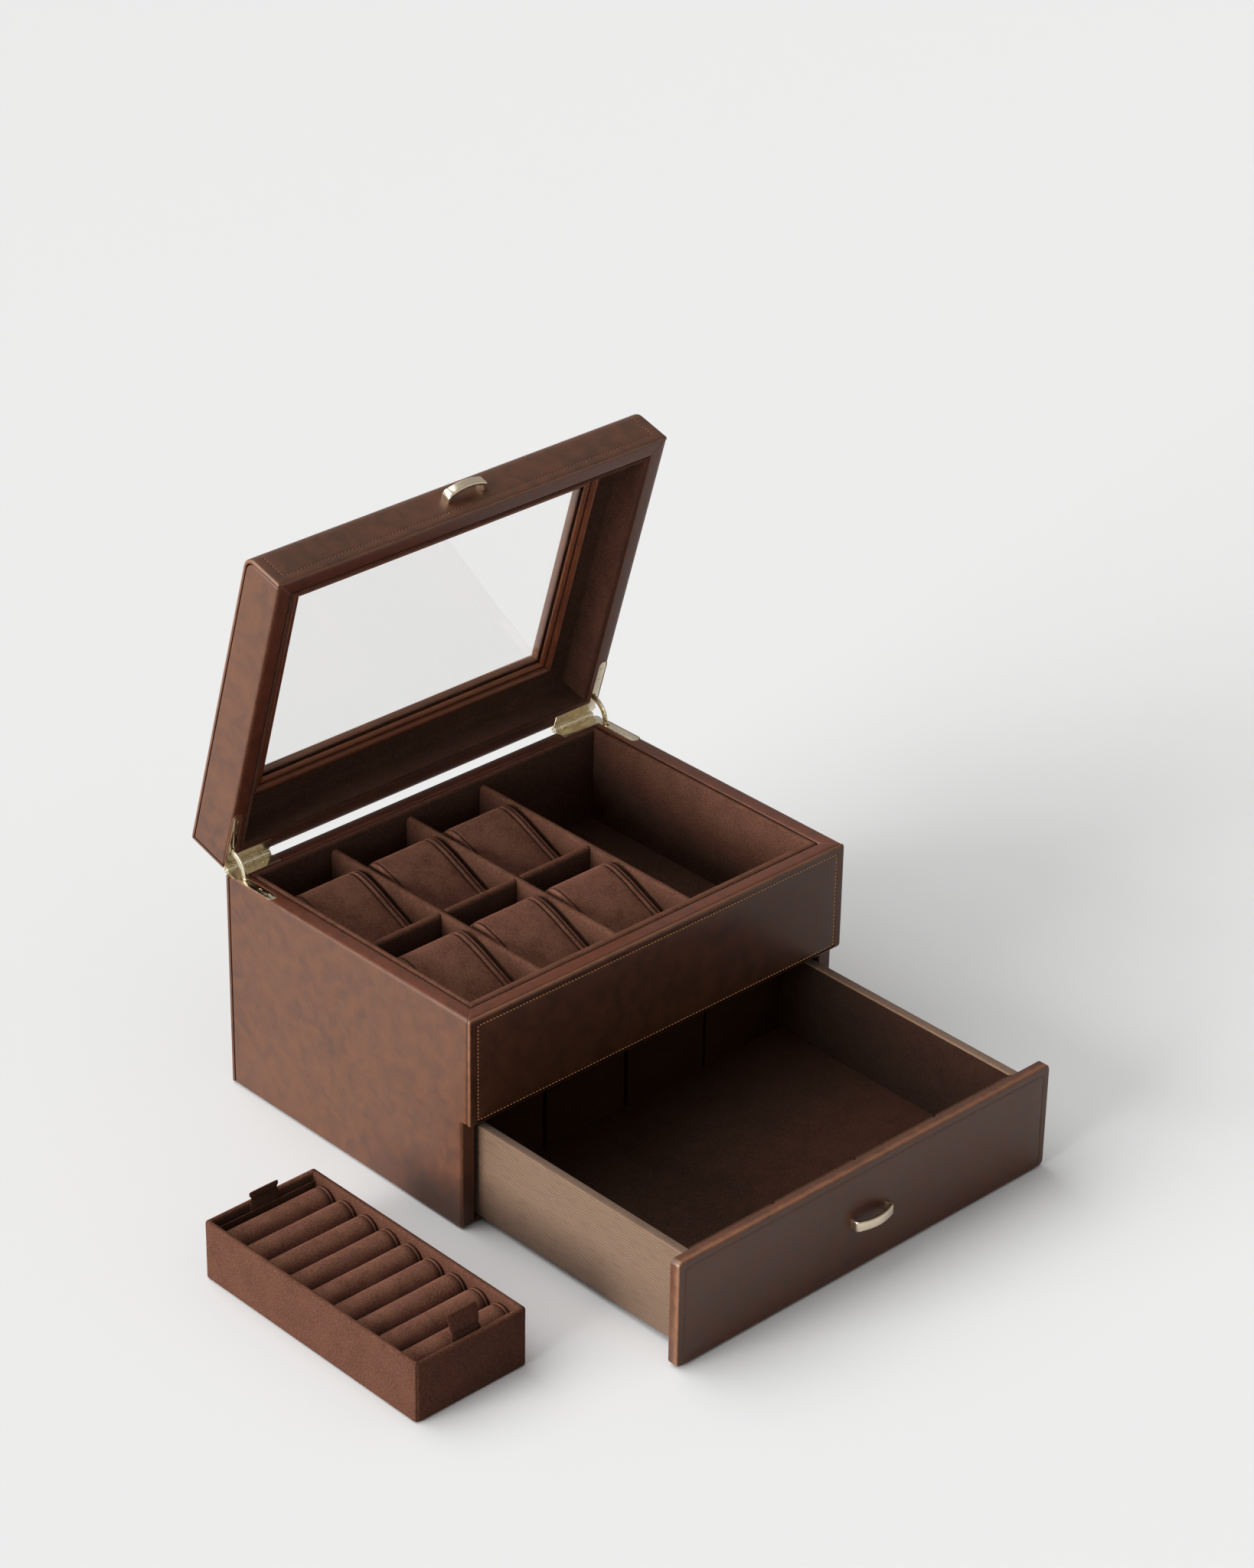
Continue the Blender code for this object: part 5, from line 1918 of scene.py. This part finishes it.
@dataclass
class Tray:
    """The loose ring tray: a soft suede shell, nine foam rolls and two folded pull tabs."""

    palette: Palette
    middle: tuple[float, float] = (-272.5, -143.5)
    half_width: float = 44.25
    half_length: float = 100.5
    height: float = 43.0
    wall: float = 4.5
    floor: float = 3.0
    rolls: int = 9
    pitch: float = 20.8
    roll_radius: float = 10.2
    roll_middle: float = 28.3

    def build(self) -> None:
        """Makes every piece of the tray."""
        self.make_shell()
        self.make_rolls()
        self.make_tabs()
        self.make_liners()

    def make_shell(self) -> None:
        """The shell: rounded rectangles up the outside, over a soft rim and down to the floor.

        The rim swells at its corners, where the suede is folded over, and a seam runs down each corner.
        """
        turn = np.linspace(0, math.pi / 2, 5)
        over = np.linspace(0, math.pi, 9)
        half = self.wall / 2
        low = np.stack((1.6 * (1 - np.sin(turn)), 0.4 + 1.6 * (1 - np.cos(turn))), axis=1)
        rim = np.stack((half - half * np.cos(over), self.height - half + half * np.sin(over)), axis=1)
        outside = [[0.0, 12.0], [0.05, 28.0]]
        inside = [[self.wall, 30.0], [self.wall, 5.0], [self.wall + 1.2, self.floor]]
        section = np.concatenate((low, outside, rim, inside))
        segments = 6
        rings = []
        for across, level in section:
            low_corner = (-self.half_width + across, -self.half_length + across)
            high_corner = (self.half_width - across, self.half_length - across)
            ring = box_outline(low_corner, high_corner, max(3.0 - across * 0.45, 0.8), segments)
            rings.append(Axis.Z.stand(ring, level))
        grid = np.stack(rings) + np.array((*self.middle, 0.0))
        corner_share = np.tile(np.sin(np.linspace(0, math.pi, segments + 1)), 4)
        on_rim = np.clip((section[:, 1] - self.height + 3.0) / 3.0, 0, 1)
        grid[..., 2] += 0.5 * on_rim[:, None] * corner_share[None]
        seam = (np.tile(np.arange(segments + 1), 4) == segments // 2) * 0.75
        # The rim is painted pale: partly scuffing, partly a painted highlight.
        rub = on_rim[:, None] * 0.55 * np.ones(grid.shape[:2])
        surface = Surface().loft(
            grid, rub=rub, dip=np.broadcast_to(seam[None], grid.shape[:2]) * (rub < 0.9)
        )
        make_piece("tray_shell_suede", surface, self.palette.tray, Body.TRAY, ["tray_shell"])

    def make_rolls(self) -> None:
        """Nine foam rolls: one is swelled as cloth and copied along the tray."""
        half = self.half_width - self.wall - 0.5
        corners = [
            (-self.roll_radius, 3.4),
            (self.roll_radius, 3.4),
            (self.roll_radius, self.roll_middle + self.roll_radius),
        ]
        corners += [(-self.roll_radius, self.roll_middle + self.roll_radius)]
        profile = rounded(corners, [1.0, 1.0, self.roll_radius - 0.2, self.roll_radius - 0.2], 12)
        pad = Pad(profile, 2 * half, (half - 3.0,), 1.8, around=60)
        surface, held = pad.surface()
        room = np.array((half, self.pitch / 2 - 0.05, self.height))
        shape = swelled(surface, held, PILLOW_PRESSURE, 0.8, -room * (1, 1, 0), room)
        for number in range(1, self.rolls + 1):
            y = (number - (self.rolls + 1) / 2) * self.pitch
            moved = shape + np.array((self.middle[0], self.middle[1] + y, 0.0))
            skin = Surface([moved], surface.faces, surface.rub, surface.dip, surface.count)
            name = f"ring_roll_{number}"
            item = make_piece(name + "_pad", skin, self.palette.pillow, Body.TRAY, [name])

    def make_tabs(self) -> None:
        """Folded pull tabs: a flat rounded section up the end wall, drawn in at the waist and leaning in."""
        share = np.array(
            [0, 8, 16, 24, 32, 38, 42, 44, 45.5, 47, 49, 51, 53, 55, 56.6, 57.4, 57.8, 58.0]
        ) / 58
        for side, name, height, fall in ((-1, "front", 58.0, 5.0), (1, "rear", 50.5, -1.6)):
            t = share * height
            waist = 1.5 * bump_line(t - 45.8, 1.5)
            top = 0.9 - np.sqrt(np.clip(0.9**2 - np.clip(t - height + 0.9, 0, 0.9) ** 2, 0, None))
            lean = fall * np.clip((t - 40) / 18, 0, 1) ** 1.4
            section = box_outline((-1.0, -0.5), (1.0, 0.5), 0.42, 3)
            half = 11.5 - waist - top
            thick = 1.1 * (1 - 0.25 * np.clip((t - height + 2) / 2, 0, 1))
            x = section[None, :, 0] * half[:, None]
            y = side * (
                self.half_length - self.wall - 0.8 - lean
            )[:, None] + section[None, :, 1] * thick[:, None]
            z = np.broadcast_to(np.maximum(t, 3.4)[:, None], x.shape)
            rings = np.stack((x + self.middle[0], y + self.middle[1], z), axis=-1)
            # The top edge is painted pale, partly scuffing and partly a painted highlight; the fold at the
            # waist is darkened as painted shade.
            rub = np.clip((t - height + 3) / 3, 0, 1) * 0.5
            surface = Surface().loft(rings, rub=rub, dip=0.5 * bump_line(t - 45.8, 1.2))
            make_piece(
                f"tray_tab_{name}_suede",
                surface,
                self.palette.tray,
                Body.TRAY,
                [f"tray_tab_{name}"],
            )


    def make_liners(self) -> None:
        """Thin suede-covered boards in front of the end walls, with the tabs behind them."""
        half, near = self.half_width - self.wall - 0.3, self.half_length - self.wall
        for side, name in ((-1, "front"), (1, "rear")):
            surface = Surface()
            start = (self.middle[0] - half, self.middle[1] + side * near - (2.45 if side > 0 else -1.45))
            end = (start[0] + 2 * half, start[1])
            bar(surface, start, end, lipped(1.0, 3.3, 38.0, 0.4), (0, 0), pinch=0.05, seam=0.0)
            make_piece(f"tray_liner_{name}", surface, self.palette.tray, Body.TRAY)


@dataclass
class Studio:
    """A pale floor, soft lights and the camera."""

    camera_place: tuple[float, float, float] = (-1.6694, -1.8298, 1.6039)
    azimuth: float = math.radians(-43.71)
    elevation: float = math.radians(29.24)
    roll: float = math.radians(1.05)
    lens: float = 100.47
    floor_tone: int = 205
    surround: float = 0.42
    black: float = 0.001
    suns: tuple[tuple[str, tuple[float, float, float], float, float], ...] = (
        ("side", (-1.0, 0.1, 0.16), 40.0, 6.8),
        ("key", (-0.3, 0.5, 0.85), 60.0, 2.4),
    )

    def build(self) -> None:
        """Makes the stage."""
        self.make_floor()
        self.make_lights()
        self.make_camera()

    def make_floor(self) -> None:
        """A wide pale sheet that rises behind as a gentle sweep."""
        depth = np.linspace(-8.0, 14.0, 45)
        rise = 0.02 * np.clip(depth - 6.0, 0, None) ** 3
        across = np.linspace(-11.0, 11.0, 23)
        y, x = np.meshgrid(depth, across, indexing="ij")
        points = np.stack((x, y, np.broadcast_to(rise[:, None], x.shape)), axis=-1).reshape(-1, 3)
        mesh = bpy.data.meshes.new("floor")
        mesh.from_pydata(points.tolist(), [], quads(45, 23)[:, ::-1].tolist())
        floor = bpy.data.objects.new("floor", mesh)
        bpy.context.scene.collection.objects.link(floor)
        material = bpy.data.materials.new("floor_paper")
        material.use_nodes = True
        shader = material.node_tree.nodes["Principled BSDF"]
        shader.inputs["Base Color"].default_value = paint(self.floor_tone, self.floor_tone, self.floor_tone)
        shader.inputs["Roughness"].default_value = 0.9
        shader.inputs["Specular IOR Level"].default_value = 0.1
        mesh.materials.append(material)
        mesh.shade_smooth()

    def make_lights(self) -> None:
        """A broad low light from the left, a soft key from the left rear and an even surround."""
        for name, towards, spread, power in self.suns:
            light = bpy.data.lights.new(name, "SUN")
            light.angle = math.radians(spread)
            light.energy = power
            item = bpy.data.objects.new(name, light)
            item.rotation_euler = Vector(towards).to_track_quat("Z", "Y").to_euler()
            bpy.context.scene.collection.objects.link(item)
        world = bpy.data.worlds.new("surround")
        world.use_nodes = True
        world.node_tree.nodes["Background"].inputs["Color"].default_value = (1.0, 0.99, 0.98, 1.0)
        world.node_tree.nodes["Background"].inputs["Strength"].default_value = self.surround
        bpy.context.scene.world = world
        view = bpy.context.scene.view_settings
        view.view_transform = "Standard"
        view.use_curve_mapping = True
        tone = view.curve_mapping
        tone.black_level = (self.black,) * 3
        for value, shown in TONE_STEPS:
            tone.curves[3].points.new(value, shown)
        for point in tone.curves[3].points:
            point.handle_type = "VECTOR"
        tone.update()

    def make_camera(self) -> None:
        """The camera, from its place, the way round and up that it looks back along, and a slight roll."""
        a, e, r = self.azimuth, self.elevation, self.roll
        back = Vector((math.sin(a) * math.cos(e), -math.cos(a) * math.cos(e), math.sin(e)))
        level = Vector((math.cos(a), math.sin(a), 0.0))
        above = back.cross(level)
        right = level * math.cos(r) + above * math.sin(r)
        up = above * math.cos(r) - level * math.sin(r)
        data = bpy.data.cameras.new("camera")
        data.lens = self.lens
        data.clip_start, data.clip_end = 0.05, 60.0
        camera = bpy.data.objects.new("camera", data)
        bpy.context.scene.collection.objects.link(camera)
        camera.matrix_world = Matrix.Translation(
            self.camera_place
        ) @ Matrix((right, up, back)).transposed().to_4x4()
        bpy.context.scene.camera = camera


def main() -> None:
    """Builds the stage and every sub-assembly."""
    logging.basicConfig(level=logging.INFO, format="%(message)s")
    for item in [
        o for o in bpy.context.scene.objects if "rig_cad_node" not in o and not o.name.startswith("body:")
    ]:
        bpy.data.objects.remove(item)
    Studio().build()
    palette = make_palette()
    CaseBody(palette).build()
    Pillows(palette).build()
    Lid(palette).build()
    Drawer(palette).build()
    Tray(palette).build()


if __name__ == "__main__":
    main()
